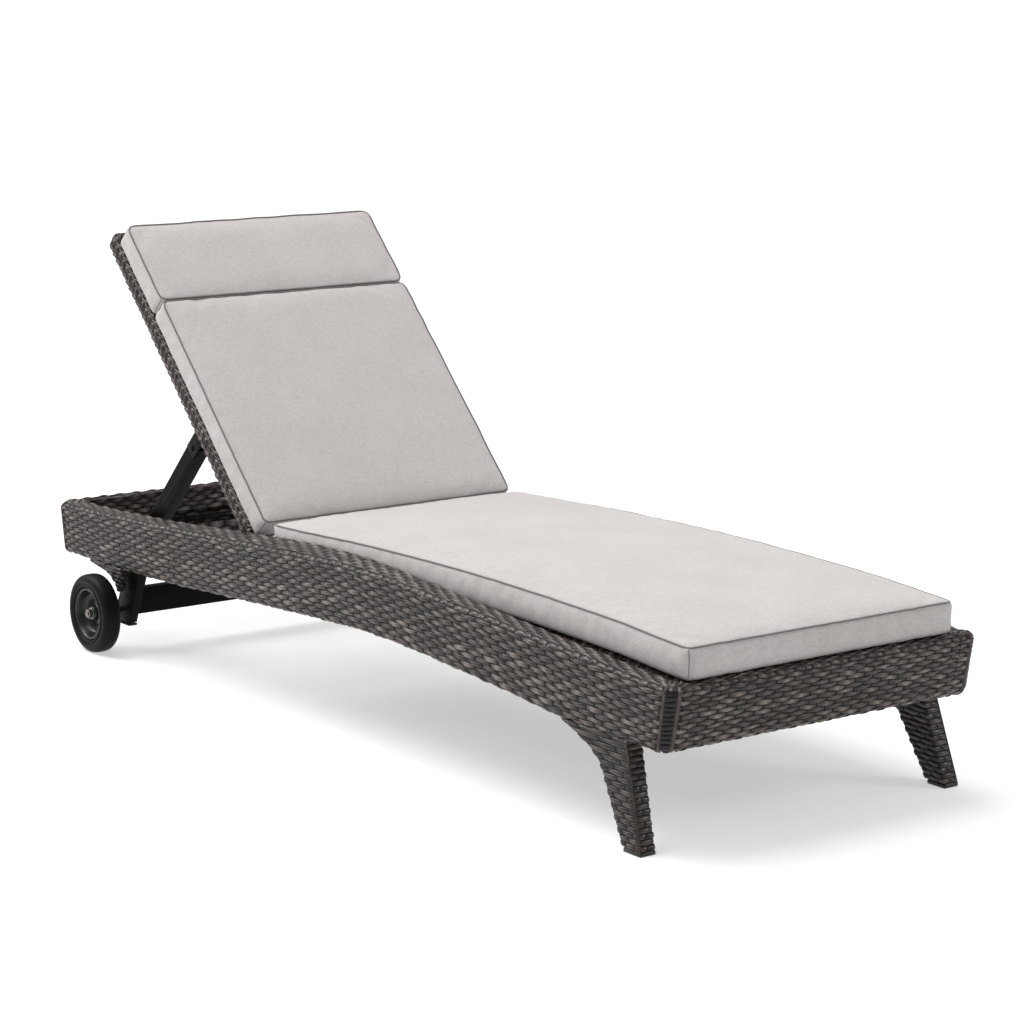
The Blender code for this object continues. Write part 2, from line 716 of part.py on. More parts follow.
# ---- notched racks ----
def bar_place(angle):
    """y of the prop's bar, at the height it has at rest, with the back at this angle."""
    up = Vector((0, math.cos(angle), math.sin(angle)))
    behind = Vector((0, math.sin(angle), -math.cos(angle)))
    pivot = HINGE + up * PROP_AT + behind * PROP_BEHIND
    return pivot.y + math.sqrt(PROP_LENGTH**2 - (pivot.z - BAR_HEIGHT) ** 2)


rest_up = Vector((0, math.cos(RECLINE), math.sin(RECLINE)))
rest_behind = Vector((0, math.sin(RECLINE), -math.cos(RECLINE)))
rest_pivot = HINGE + rest_up * PROP_AT + rest_behind * PROP_BEHIND
BAR_HEIGHT = rest_pivot.z - PROP_LENGTH * math.sin(PROP_SLOPE)
NOTCH_RADIUS = BAR_RADIUS + 0.0010
for word, side in SIDES.items():
    xs = sorted((side * RACK_INNER, side * RACK_OUTER))
    low = (xs[0], bar_place(math.radians(RACK_STEPS[-1])) - 0.022, BAR_HEIGHT - 0.019)
    high = (xs[1], HALF - RAIL_WIDTH - 0.0025, BAR_HEIGHT + 0.006)
    rack = block(f"notch_rack_{word}", low, high, STEEL)
    for number, degrees in enumerate(RACK_STEPS):
        at = bar_place(math.radians(degrees))
        span = (side * (RACK_INNER - 0.01), side * (RACK_OUTER + 0.01))
        notch = rod(NOTCH_RADIUS, (span[0], at, BAR_HEIGHT), (span[1], at, BAR_HEIGHT), sides=12)
        for v in notch.verts:
            if v.co.z > BAR_HEIGHT + 0.001:
                v.co.z = BAR_HEIGHT + 0.020
        cut(rack, f"notch_{word}_{number}", notch)
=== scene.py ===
import json
import math

import bpy
import numpy as np
from mathutils import Matrix, Vector, noise
from mathutils.bvhtree import BVHTree


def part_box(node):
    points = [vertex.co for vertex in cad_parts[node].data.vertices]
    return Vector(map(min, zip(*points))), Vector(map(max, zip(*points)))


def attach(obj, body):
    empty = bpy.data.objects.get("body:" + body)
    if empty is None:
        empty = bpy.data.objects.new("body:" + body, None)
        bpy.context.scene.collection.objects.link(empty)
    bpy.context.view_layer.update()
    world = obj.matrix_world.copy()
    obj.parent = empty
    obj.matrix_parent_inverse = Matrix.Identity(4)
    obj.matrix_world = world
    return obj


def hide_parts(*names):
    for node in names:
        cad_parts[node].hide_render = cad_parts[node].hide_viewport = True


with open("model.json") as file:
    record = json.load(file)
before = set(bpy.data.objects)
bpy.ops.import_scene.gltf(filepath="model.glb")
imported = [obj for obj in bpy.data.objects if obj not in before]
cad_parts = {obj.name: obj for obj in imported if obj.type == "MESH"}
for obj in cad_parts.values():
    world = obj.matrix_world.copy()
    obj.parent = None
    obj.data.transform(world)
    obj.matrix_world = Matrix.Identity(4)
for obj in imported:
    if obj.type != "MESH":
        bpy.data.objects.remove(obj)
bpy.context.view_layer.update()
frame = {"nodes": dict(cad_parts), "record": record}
print("frame loaded")

# the lounger's main measures, in metres
lounger = {
    "half": 0.9925,
    "outerX": 0.33,
    "innerX": 0.2855,
    "endSlope": 0.022,
    "cornerPower": 4.74,
    "hinge": (0.0, 0.290, 0.280),
    "recline": math.radians(45.7),
}
sides = {"left": -1, "right": 1}


def clearSelection():
    if bpy.context.mode != "OBJECT":
        bpy.ops.object.mode_set(mode="OBJECT")
    bpy.ops.object.select_all(action="DESELECT")


def pick(piece):
    clearSelection()
    piece.select_set(True)
    bpy.context.view_layer.objects.active = piece
    return piece


def applyModifier(piece, name):
    pick(piece)
    bpy.ops.object.modifier_apply(modifier=name)


def settle(piece):
    # puts a finished piece's place into its mesh
    pick(piece)
    bpy.ops.object.transform_apply(location=True, rotation=True, scale=True)


def vertexPlaces(mesh):
    places = np.empty(len(mesh.vertices) * 3)
    mesh.vertices.foreach_get("co", places)
    return places.reshape(-1, 3)


def softLine(points):
    # a smooth height through (y, z) points
    ys = np.array([p[0] for p in points])
    zs = np.array([p[1] for p in points])
    slope = np.zeros(len(ys))
    slope[1:-1] = (zs[2:] - zs[:-2]) / (ys[2:] - ys[:-2])

    def height(y):
        y = np.clip(y, ys[0], ys[-1])
        i = np.clip(np.searchsorted(ys, y, side="right") - 1, 0, len(ys) - 2)
        span = ys[i + 1] - ys[i]
        t = (y - ys[i]) / span
        low = (1 + 2 * t) * (1 - t) ** 2 * zs[i] + t * (1 - t) ** 2 * span * slope[i]
        high = t * t * (3 - 2 * t) * zs[i + 1] - t * t * (1 - t) * span * slope[i + 1]
        return low + high

    return height


half = lounger["half"]
railTop = softLine(
    [(-half, 0.277), (-0.78, 0.287), (-0.45, 0.306), (-0.09, 0.319), (0.32, 0.299), (0.66, 0.281), (half, 0.270)]
)
railBottom = softLine(
    [(-half, 0.169), (-0.74, 0.170), (-0.50, 0.188), (-0.16, 0.205), (0.20, 0.191), (0.58, 0.171), (half, 0.166)]
)
seatLine = softLine([(-0.98, 0.336), (-0.78, 0.347), (-0.42, 0.355), (-0.08, 0.350), (0.24, 0.338)])


strandLook = {
    "tones": [
        (0.0, (0.007, 0.0052, 0.0045)),
        (0.35, (0.027, 0.0205, 0.018)),
        (0.7, (0.068, 0.0540, 0.0475)),
        (1.0, (0.190, 0.162, 0.148)),
    ],
    # gap is the near-black of the painted shade in the weave's gaps, slits and low places
    "gap": (0.0025, 0.002, 0.0018),
    "roughness": 0.26,
    "grain": 0.5,
    "blotch": 0.22,
    "shine": 0.30,
    "rowGap": 0.32,
    "slit": 0.10,
    "slitDark": 0.92,
}
# seat and back are one fabric; the back's copy is lighter than the seat's, painted light on the less lit back
# cushions
clothLook = {"seat": (0.440, 0.418, 0.411), "back": (0.480, 0.451, 0.444), "piping": (0.14, 0.13, 0.125)}
metalLook = {"coat": (0.0035, 0.0028, 0.0026), "zinc": (0.22, 0.21, 0.20)}
rubberLook = {"tyre": (0.0035, 0.0034, 0.0033), "hub": (0.008, 0.0075, 0.0072)}


def newMaterial(name):
    made = bpy.data.materials.new(name)
    made.use_nodes = True
    tree = made.node_tree
    shader = tree.nodes["Principled BSDF"]
    return made, tree, shader


def addNode(tree, kind, **values):
    node = tree.nodes.new(kind)
    for key, value in values.items():
        if key in node.inputs:
            node.inputs[key].default_value = value
        else:
            setattr(node, key, value)
    return node


def mathNode(tree, how, a, b=None):
    node = tree.nodes.new("ShaderNodeMath")
    node.operation = how
    for slot, value in enumerate((a, b)):
        if value is None:
            continue
        if isinstance(value, (int, float)):
            node.inputs[slot].default_value = value
        else:
            tree.links.new(value, node.inputs[slot])
    return node.outputs[0]


def mixColor(tree, how, amount, a, b):
    node = tree.nodes.new("ShaderNodeMix")
    node.data_type = "RGBA"
    node.blend_type = how
    for socket, value in ((node.inputs["Factor"], amount), (node.inputs[6], a), (node.inputs[7], b)):
        if isinstance(value, (int, float)):
            socket.default_value = value
        elif isinstance(value, tuple):
            socket.default_value = (*value, 1.0)
        else:
            tree.links.new(value, socket)
    return node.outputs[2]


def ramp(tree, factor, stops):
    node = tree.nodes.new("ShaderNodeValToRGB")
    while len(node.color_ramp.elements) < len(stops):
        node.color_ramp.elements.new(0.5)
    for element, (place, color) in zip(node.color_ramp.elements, stops):
        element.position = place
        element.color = (*color, 1.0)
    tree.links.new(factor, node.inputs[0])
    return node.outputs[0]


def blendRange(tree, value, low, high):
    # 0 below low, 1 above high
    node = tree.nodes.new("ShaderNodeMapRange")
    node.interpolation_type = "SMOOTHSTEP"
    node.inputs["From Min"].default_value = low
    node.inputs["From Max"].default_value = high
    tree.links.new(value, node.inputs["Value"])
    return node.outputs[0]


def strandMaterial():
    # weaveUV holds stakes along and rows across; the "strand" attribute holds tone (with the painted highlight and
    # shade of each float), plainness and depth, which darkens the low places as painted shade
    made, tree, shader = newMaterial("rattanStrand")
    strand = addNode(tree, "ShaderNodeAttribute", attribute_name="strand")
    split = tree.nodes.new("ShaderNodeSeparateColor")
    tree.links.new(strand.outputs["Color"], split.inputs[0])
    tone, plain, depth = split.outputs
    uv = tree.nodes.new("ShaderNodeUVMap")
    uv.uv_map = "weaveUV"
    place = tree.nodes.new("ShaderNodeSeparateXYZ")
    tree.links.new(uv.outputs[0], place.inputs[0])
    stakePlace, rowPlace = place.outputs[0], place.outputs[1]

    def calc(how, a, b=None):
        return mathNode(tree, how, a, b)

    def offCentre(value):
        return calc("SUBTRACT", value, 0.5)

    across = calc("ABSOLUTE", offCentre(calc("FRACT", rowPlace)))
    rowGap = blendRange(tree, across, strandLook["rowGap"], 0.495)
    shifted = calc("ADD", stakePlace, 0.5)
    near = calc("ABSOLUTE", offCentre(calc("FRACT", shifted)))
    parity = calc("MODULO", calc("ADD", calc("FLOOR", shifted), calc("FLOOR", rowPlace)), 2.0)
    slitWidth = strandLook["slit"]
    atStake = calc("SUBTRACT", 1.0, blendRange(tree, near, slitWidth * 0.6, slitWidth * 1.25))
    slit = calc("MULTIPLY", calc("MULTIPLY", atStake, parity), strandLook["slitDark"])
    woven = calc("SUBTRACT", 1.0, plain)
    gap = calc("MULTIPLY", calc("MAXIMUM", rowGap, slit), woven)

    stretch = addNode(tree, "ShaderNodeMapping")
    stretch.inputs["Scale"].default_value = (1.3, 15.0, 1.0)
    tree.links.new(uv.outputs[0], stretch.inputs["Vector"])
    grain = addNode(tree, "ShaderNodeTexNoise", Scale=1.0, Detail=3.0)
    tree.links.new(stretch.outputs[0], grain.inputs["Vector"])
    blotch = addNode(tree, "ShaderNodeTexNoise", Scale=2.2, Detail=2.0)
    tree.links.new(uv.outputs[0], blotch.inputs["Vector"])
    shade = calc("ADD", tone, calc("MULTIPLY", offCentre(grain.outputs[0]), strandLook["grain"]))
    shade = calc("ADD", shade, calc("MULTIPLY", offCentre(blotch.outputs[0]), strandLook["blotch"]))
    color = ramp(tree, shade, strandLook["tones"])
    # painted shade: by depth, the low places of the weave are mixed towards the near-black gap colour
    paintedRecessShade = blendRange(tree, depth, 0.10, 0.66)
    color = mixColor(tree, "MIX", paintedRecessShade, strandLook["gap"], color)
    # painted shade: the gaps between the rows and the slits beside the stakes are coloured near black
    color = mixColor(tree, "MIX", gap, color, strandLook["gap"])
    tree.links.new(color, shader.inputs["Base Color"])
    rough = calc("ADD", calc("MULTIPLY", grain.outputs[0], 0.20), strandLook["roughness"] - 0.10)
    rough = calc("ADD", rough, calc("MULTIPLY", gap, 0.5))
    tree.links.new(rough, shader.inputs["Roughness"])
    shader.inputs["Specular IOR Level"].default_value = strandLook["shine"]
    height = calc("SUBTRACT", calc("MULTIPLY", grain.outputs[0], 0.30), gap)
    bump = addNode(tree, "ShaderNodeBump", Strength=0.55, Distance=0.0007)
    tree.links.new(height, bump.inputs["Height"])
    tree.links.new(bump.outputs[0], shader.inputs["Normal"])
    return made


def clothMaterial(name, color, rough=0.92):
    made, tree, shader = newMaterial(name)
    place = tree.nodes.new("ShaderNodeTexCoord")
    slubs = []
    for scale in ((110.0, 620.0, 300.0), (620.0, 110.0, 620.0)):
        stretch = addNode(tree, "ShaderNodeMapping")
        stretch.inputs["Scale"].default_value = scale
        tree.links.new(place.outputs["Object"], stretch.inputs["Vector"])
        slub = addNode(tree, "ShaderNodeTexNoise", Scale=1.0, Detail=2.0)
        tree.links.new(stretch.outputs[0], slub.inputs["Vector"])
        slubs.append(slub.outputs[0])
    weave = mathNode(tree, "MULTIPLY", mathNode(tree, "ADD", slubs[0], slubs[1]), 0.5)
    cloud = addNode(tree, "ShaderNodeTexNoise", Scale=9.0, Detail=4.0, Roughness=0.6)
    tree.links.new(place.outputs["Object"], cloud.inputs["Vector"])
    dark = tuple(c * 0.86 for c in color)
    light = tuple(min(1.0, c * 1.10) for c in color)
    base = ramp(tree, weave, [(0.34, dark), (0.5, color), (0.66, light)])
    shadeOver = ramp(tree, cloud.outputs[0], [(0.3, (0.93, 0.925, 0.92)), (0.7, (1.0, 1.0, 1.0))])
    base = mixColor(tree, "MULTIPLY", 1.0, base, shadeOver)
    tree.links.new(base, shader.inputs["Base Color"])
    shader.inputs["Roughness"].default_value = rough
    shader.inputs["Sheen Weight"].default_value = 0.15
    shader.inputs["Sheen Roughness"].default_value = 0.6
    shader.inputs["Specular IOR Level"].default_value = 0.2
    bump = addNode(tree, "ShaderNodeBump", Strength=0.35, Distance=0.0006)
    tree.links.new(weave, bump.inputs["Height"])
    tree.links.new(bump.outputs[0], shader.inputs["Normal"])
    return made


def coatMaterial(name, color, rough, metallic=0.0, fleck=900.0, strength=0.18, shine=0.07):
    # a fine-grained hard finish: powder coat, moulded plastic, rubber or zinc
    made, tree, shader = newMaterial(name)
    place = tree.nodes.new("ShaderNodeTexCoord")
    fine = addNode(tree, "ShaderNodeTexNoise", Scale=fleck, Detail=2.0)
    wide = addNode(tree, "ShaderNodeTexNoise", Scale=14.0, Detail=4.0)
    for grain in (fine, wide):
        tree.links.new(place.outputs["Object"], grain.inputs["Vector"])
    dark = tuple(c * 0.82 for c in color)
    light = tuple(c * 1.25 for c in color)
    base = ramp(tree, wide.outputs[0], [(0.3, dark), (0.7, light)])
    tree.links.new(base, shader.inputs["Base Color"])
    roughness = mathNode(tree, "ADD", mathNode(tree, "MULTIPLY", wide.outputs[0], 0.2), rough - 0.1)
    tree.links.new(roughness, shader.inputs["Roughness"])
    shader.inputs["Metallic"].default_value = metallic
    shader.inputs["Specular IOR Level"].default_value = shine
    bump = addNode(tree, "ShaderNodeBump", Strength=strength, Distance=0.0002)
    tree.links.new(fine.outputs[0], bump.inputs["Height"])
    tree.links.new(bump.outputs[0], shader.inputs["Normal"])
    return made


rattan = strandMaterial()
seatCloth = clothMaterial("seatCloth", clothLook["seat"])
# painted light: the back cushions' cover is a lighter copy of the seat's fabric
backClothLightened = clothMaterial("backClothLightened", clothLook["back"])
pipingCloth = clothMaterial("pipingCloth", clothLook["piping"], 0.8)
powderCoat = coatMaterial("powderCoat", metalLook["coat"], 0.42)
zincSteel = coatMaterial("zincSteel", metalLook["zinc"], 0.38, 1.0, 1400.0, shine=0.5)
tyreRubber = coatMaterial("tyreRubber", rubberLook["tyre"], 0.48, 0.0, 1200.0, 0.3, shine=0.11)
hubPlastic = coatMaterial("hubPlastic", rubberLook["hub"], 0.30, shine=0.40)


def wear(piece, look):
    piece.data.materials.clear()
    piece.data.materials.append(look)


finishes = {
    "wicker": rattan,
    "powder_coat": powderCoat,
    "zinc": zincSteel,
    "tyre": tyreRubber,
    "plastic": hubPlastic,
    "fabric": seatCloth,
}
slotOf = {s["node"]: s["material_slot"] for s in frame["record"]["subparts"]}
for node, piece in frame["nodes"].items():
    look = finishes[slotOf[node]]
    if len(piece.data.materials) == 0:
        piece.data.materials.append(look)
    for number in range(len(piece.data.materials)):
        piece.data.materials[number] = look
print("materials made")


weave = {
    "alongCuts": (0.07, 0.27, 0.73, 0.93),
    "acrossCuts": (0.0, 0.14, 0.5, 0.86),
    "relief": 0.0020,
    "edgeDrop": 0.0024,
    "wall": 0.0014,
    "stray": 0.07,
    "slant": 0.10,
    "lens": 0.03,
    "ridgeCuts": (-0.16, -0.1, 0.0, 0.1, 0.16),
    "ridge": 0.13,
    "ridgeGap": 0.18,
}


def roundedLine(points, marks, count, soften):
    # points along a section at the given row marks, with the corners softened over a few rows
    rows = np.linspace(marks[0], marks[-1], count)
    line = np.stack([np.interp(rows, marks, points[:, k]) for k in range(points.shape[1])], axis=1)
    reach = max(1, int(soften * count / (marks[-1] - marks[0]) / 2))
    kernel = np.hanning(2 * reach + 3)[1:-1]
    kernel /= kernel.sum()
    side = len(kernel) // 2
    padded = np.concatenate([2 * line[:1] - line[side:0:-1], line, 2 * line[-1:] - line[-2 : -side - 2 : -1]])
    return np.stack([np.convolve(padded[:, k], kernel, mode="valid") for k in range(points.shape[1])], axis=1)


def readDense(dense, stakes, rows, s, r):
    # a bilinear look-up in the dense grid of a smooth surface
    a = np.clip(s / stakes, 0, 1) * (dense.shape[0] - 1)
    b = np.clip(r / rows, 0, 1) * (dense.shape[1] - 1)
    i = np.minimum(a.astype(int), dense.shape[0] - 2)
    j = np.minimum(b.astype(int), dense.shape[1] - 2)
    fa = (a - i)[..., None]
    fb = (b - j)[..., None]
    low = dense[i, j] * (1 - fb) + dense[i, j + 1] * fb
    high = dense[i + 1, j] * (1 - fb) + dense[i + 1, j + 1] * fb
    return low * (1 - fa) + high * fa


def gridPiece(name, points, flat, tones):
    # a grid mesh with its places, weaveUV and strand values read from arrays
    countS, countR = points.shape[:2]
    clearSelection()
    bpy.ops.mesh.primitive_grid_add(x_subdivisions=countR - 1, y_subdivisions=countS - 1, size=1.0)
    piece = bpy.context.object
    piece.name = name
    mesh = piece.data
    mesh.name = name
    grid = vertexPlaces(mesh)
    column = countR - 1 - np.round((grid[:, 0] + 0.5) * (countR - 1)).astype(int)
    line = np.round((grid[:, 1] + 0.5) * (countS - 1)).astype(int)
    mesh.vertices.foreach_set("co", points[line, column].astype(np.float32).ravel())
    corner = np.empty(len(mesh.loops), np.int32)
    mesh.loops.foreach_get("vertex_index", corner)
    layer = mesh.uv_layers[0] if mesh.uv_layers else mesh.uv_layers.new()
    layer.name = "weaveUV"
    layer.data.foreach_set("uv", flat[line[corner], column[corner]].astype(np.float32).ravel())
    attribute = mesh.attributes.new("strand", "FLOAT_COLOR", "POINT")
    attribute.data.foreach_set("color", tones[line, column].astype(np.float32).ravel())
    mesh.update()
    return piece


def weaveSkin(
    name, dense, stakes, rows, body, nodes, seed, relief=None, tube=False, up=None,
    skew=None, zigzag=None, ridges=(), ladders=(), wraps=(), paintedShade=1.0,
):
    # a plain weave over a smooth surface: strands run along s, stakes stand at whole s
    # a tube closes on itself along s; up is the way a flat panel faces
    # skew slants the strands along s, zigzag shifts them along r
    # ridges are lines of s with a strand laid along r
    # ladders are (low s, high s, low r, high r) with bare rungs
    # wraps are rows bound in short blocks, one to a stake
    relief = relief or weave["relief"]
    chance = np.random.RandomState(seed)
    cuts = [0.0, float(stakes)] + [k + c for k in range(stakes) for c in weave["alongCuts"]]
    for line, first, last in ridges:
        cuts += [line + step for step in weave["ridgeCuts"] if 0 <= line + step <= stakes]
    sVals = np.unique(np.round(cuts, 5))
    rVals = np.array([j + c for j in range(rows) for c in weave["acrossCuts"]] + [rows], float)
    s, r = np.meshgrid(sVals, rVals, indexing="ij")
    row = np.minimum(np.floor(r), rows - 1)
    across = (r - row) * 2 - 1
    even = 2 * np.round((s + row) / 2) - row  # the middle of the float over this point
    away = np.abs(s - even)
    floatAt = ((even + row) / 2).astype(int)
    wrapped = np.isin(row, wraps)
    away = np.where(wrapped, 1.7 * np.abs(s - np.floor(s + 1e-6) - 0.5), away)
    floatAt = np.where(wrapped, np.floor(s).astype(int) % (stakes // 2), floatAt)
    if tube:
        floatAt = floatAt % max(1, stakes // 2)
    table = chance.uniform(0, 1, (rows + 1, stakes // 2 + rows // 2 + 3))
    lift = chance.normal(0, 1, table.shape)
    lean = chance.normal(0, 1, table.shape)
    rowTone = chance.uniform(-1, 1, rows + 1)
    rowIndex = row.astype(int)
    # painted highlight and painted shade: each float is lighter at its middle and darker towards its ends, where it
    # dives under the stakes
    paintedHighlightAndShade = (np.exp(-((away / 0.45) ** 2)) - 0.35) * (1 - 0.6 * across**2)
    tone = 0.33 + 0.42 * table[rowIndex, floatAt] + 0.08 * rowTone[rowIndex] + 0.44 * paintedHighlightAndShade
    strand = relief * (1 - 1.9 * away**2.2) * (1 + 0.22 * np.clip(lift[rowIndex, floatAt], -2, 2))
    strand = strand + 0.00035 * lean[rowIndex, floatAt] * across * (away < 0.85)
    crown = -weave["edgeDrop"] * (0.15 * across**2 + 0.85 * np.abs(across) ** 5)
    height = strand + crown
    hidden = away > 0.9
    height = np.where(hidden, -0.35 * relief + crown * 0.3, height)
    tone = np.where(hidden, 0.20, tone)
    plain = np.zeros_like(tone)
    sShown = s.copy()
    for low, high, first, last in ladders:
        inside = (s > low) & (s < high) & (r > first) & (r < last)
        height = np.where(inside, -0.9 * relief + crown, height)
        tone = np.where(inside, 0.10 + 0.08 * rowTone[rowIndex], tone)
        sShown = np.where(inside, np.floor(low) + 0.35, sShown)
    for line, first, last in ridges:
        reach = np.where((r > first) & (r < last), np.abs(s - line), 9.0)
        inside = reach < weave["ridge"]
        height = np.where(inside, relief * (1.25 - 90 * reach**2), height)
        plain = np.where(inside, 1.0, plain)
        tone = np.where(inside, 0.62 + 0.1 * np.sin(r * 1.7), tone)
        height = np.where((reach > weave["ridge"]) & (reach < weave["ridgeGap"]), -relief, height)
    # depth runs from 0 in the lowest places to 1 on the floats; the material uses it to darken the low places as
    # painted shade
    depth = np.clip((height + relief + weave["edgeDrop"]) / (2 * relief + weave["edgeDrop"]), 0, 1)
    depth = np.where(hidden | (plain > 0), 1.0, depth)
    # painted shade: a factor below 1 darkens the whole weave, as on the legs
    tone = tone * paintedShade

    phases = chance.uniform(0, 6.28, 3)
    waves = sum(np.sin(s * f + r * g + p) for f, g, p in zip((0.9, 1.7, 2.9), (0.8, 2.3, 1.1), phases))
    inside = np.clip(np.minimum(r, rows - r) * 2, 0, 1)
    slant = chance.normal(0, weave["slant"], table.shape)
    rUse = r + (weave["stray"] * waves + slant[rowIndex, floatAt] * (s - even) * (1 - across**4)) * inside
    rUse = rUse + weave["lens"] * across * np.cos(np.pi * (s + row)) * inside  # narrows each float at its ends
    sUse = s
    if skew is not None:
        sUse = s + skew(s, r)
    if tube:
        sUse = s % stakes
        rUse = r if zigzag is None else r + zigzag(s) * np.clip(np.minimum(r, rows - r) / 3, 0, 1)
    points = readDense(dense, stakes, rows, sUse, rUse)
    before = readDense(dense, stakes, rows, np.clip(sUse - 0.15, 0, stakes), rUse)
    after = readDense(dense, stakes, rows, np.clip(sUse + 0.15, 0, stakes), rUse)
    below = readDense(dense, stakes, rows, sUse, np.clip(rUse - 0.3, 0, rows))
    above = readDense(dense, stakes, rows, sUse, np.clip(rUse + 0.3, 0, rows))
    normal = np.cross(after - before, above - below)
    normal /= np.maximum(np.linalg.norm(normal, axis=2, keepdims=True), 1e-9)
    if up is not None:
        facing = (normal @ np.array(up)).mean()
    else:
        middle = points.mean(axis=0 if tube else 1, keepdims=True)
        facing = (normal * (points - middle)).sum(axis=2).mean()
    if facing < 0:
        normal = -normal
    top = relief if up is None else 0.0
    points = points + normal * (height - top)[..., None]
    tones = np.stack([tone, plain, depth, np.ones_like(tone)], axis=2)
    flat = np.stack([sShown, r], axis=2)
    if facing < 0:
        points, tones, flat = points[::-1], tones[::-1], flat[::-1]

    piece = gridPiece(name, points, flat, tones)
    if tube:
        bpy.ops.object.mode_set(mode="EDIT")
        bpy.ops.mesh.select_all(action="SELECT")
        bpy.ops.mesh.remove_doubles(threshold=0.00002)
        bpy.ops.object.mode_set(mode="OBJECT")
    wall = piece.modifiers.new("wall", "SOLIDIFY")
    wall.thickness = weave["wall"]
    wall.offset = -1
    applyModifier(piece, "wall")
    bpy.ops.object.shade_smooth()
    wear(piece, rattan)
    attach(piece, body)
    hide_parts(*nodes)
    print(name, len(piece.data.polygons), "faces")
    return piece


rail = {
    "marks": [0, 5, 10, 11, 23, 24, 27, 29],
    "rows": 29,
    "stakes": 96,
    "endStakes": 30,
    "lines": 233,
    "width": 0.0475,
    "lip": 0.003,
    "rounding": 1.6,
    "turnSteps": 25,
    "sideSteps": 505,
    "endSteps": 153,
    "corner": (1.39, 2.77),  # where the bare rungs of a corner lie, in stakes
}


def railSection(y):
    # distance out from the inner corner line, and height, from the inner lip round to the lower lip
    top, bottom = railTop(y), railBottom(y)
    lip, width = rail["lip"], rail["width"]
    inner = top + 0.0135 * math.exp(-(((y - 0.12) / 0.40) ** 2))
    return np.array(
        [
            (lip, inner - 0.045),
            (lip, inner),
            (0.0375, top + 0.001),
            (width, top - 0.008),
            (width, bottom + 0.008),
            (0.0395, bottom),
            (lip, bottom),
            (lip, bottom + 0.030),
        ]
    )


def leanIn(points):
    # the end faces lean towards the middle as they go down
    y, z = points[..., 1], points[..., 2]
    depth = (railTop(y) - z) / (railTop(y) - railBottom(y))
    pull = lounger["endSlope"] * depth * np.clip(np.abs(y) - 0.90, 0, None) / (half - 0.90)
    points[..., 1] = np.sign(y) * (np.abs(y) - pull)
    return points


def sideDense(side):
    # a side rail's outer skin, turning the corner at both ends
    turn = half - rail["width"]
    inner = lounger["innerX"] - rail["lip"]
    power = lounger["cornerPower"]
    stations = [(-turn, a) for a in np.linspace(-90, 0, rail["turnSteps"])[:-1]]
    stations += [(y, 0) for y in np.linspace(-turn, turn, rail["sideSteps"])]
    stations += [(turn, a) for a in np.linspace(0, 90, rail["turnSteps"])[1:]]
    lines = []
    for y, degrees in stations:
        section = roundedLine(railSection(y), rail["marks"], rail["lines"], rail["rounding"])
        a = math.radians(degrees)
        reach = rail["width"] / (abs(math.cos(a)) ** power + abs(math.sin(a)) ** power) ** (1 / power)
        out = rail["lip"] + (section[:, 0] - rail["lip"]) * (reach - rail["lip"]) / (rail["width"] - rail["lip"])
        x = side * (inner + out * math.cos(a))
        lines.append(np.stack([x, y + out * math.sin(a), section[:, 1]], axis=1))
    return leanIn(np.array(lines))


def endDense(end):
    turn = end * (half - rail["width"])
    reach = lounger["innerX"] - 0.001  # runs 2 mm into the side skins
    section = roundedLine(railSection(end * half), rail["marks"], rail["lines"], rail["rounding"])
    lines = []
    for x in np.linspace(-reach, reach, rail["endSteps"]):
        lines.append(np.stack([np.full(rail["lines"], x), turn + end * section[:, 0], section[:, 1]], axis=1))
    return leanIn(np.array(lines))


def borderTwist(stakes):
    # slants the strands over the rail's top so that they look twisted
    def skew(s, r):
        fade = np.clip(np.minimum(s - 3, stakes - 3 - s) / 3, 0, 1)
        return 1.5 * fade * (np.clip((r - 5) / 5, 0, 1) - 1)

    return skew


for word, side in sides.items():
    low, high = rail["corner"]
    count = rail["stakes"]
    weaveSkin(
        f"sideWeave_{word}", sideDense(side), count, rail["rows"], "base", [f"side_wicker_{word}"],
        seed=3 + side,
        skew=borderTwist(count),
        ladders=[(low, high, 10.4, 23.6), (count - high, count - low, 10.4, 23.6)],
        ridges=[(line, 9.5, 24.5) for line in (low, high, count - high, count - low)],
        wraps=(10,),
    )
for word, end in (("foot", -1), ("head", 1)):
    weaveSkin(
        f"{word}Weave", endDense(end), rail["endStakes"], rail["rows"], "base", [f"{word}_wicker"],
        seed=11 + end,
        wraps=(10,),
    )
print("rails woven")


def cornerArcs(low, high, corner):
    # the four rounded corners of a rectangle, counter-clockwise from the high one
    (x0, y0), (x1, y1) = low, high
    x0, x1, y0, y1 = x0 + corner, x1 - corner, y0 + corner, y1 - corner
    arcs = []
    for number, (cx, cy) in enumerate(((x1, y1), (x0, y1), (x0, y0), (x1, y0))):
        angles = np.radians(np.linspace(90 * number, 90 * number + 90, 9))
        arcs.append([(cx + corner * math.cos(a), cy + corner * math.sin(a)) for a in angles])
    return arcs


def walkAlong(path, count, endpoint):
    # count points at even steps along a path
    path = np.array(path)
    gone = np.concatenate([[0], np.cumsum(np.linalg.norm(np.diff(path, axis=0), axis=1))])
    at = np.linspace(0, gone[-1], count, endpoint=endpoint)
    return np.stack([np.interp(at, gone, path[:, 0]), np.interp(at, gone, path[:, 1])], axis=1)


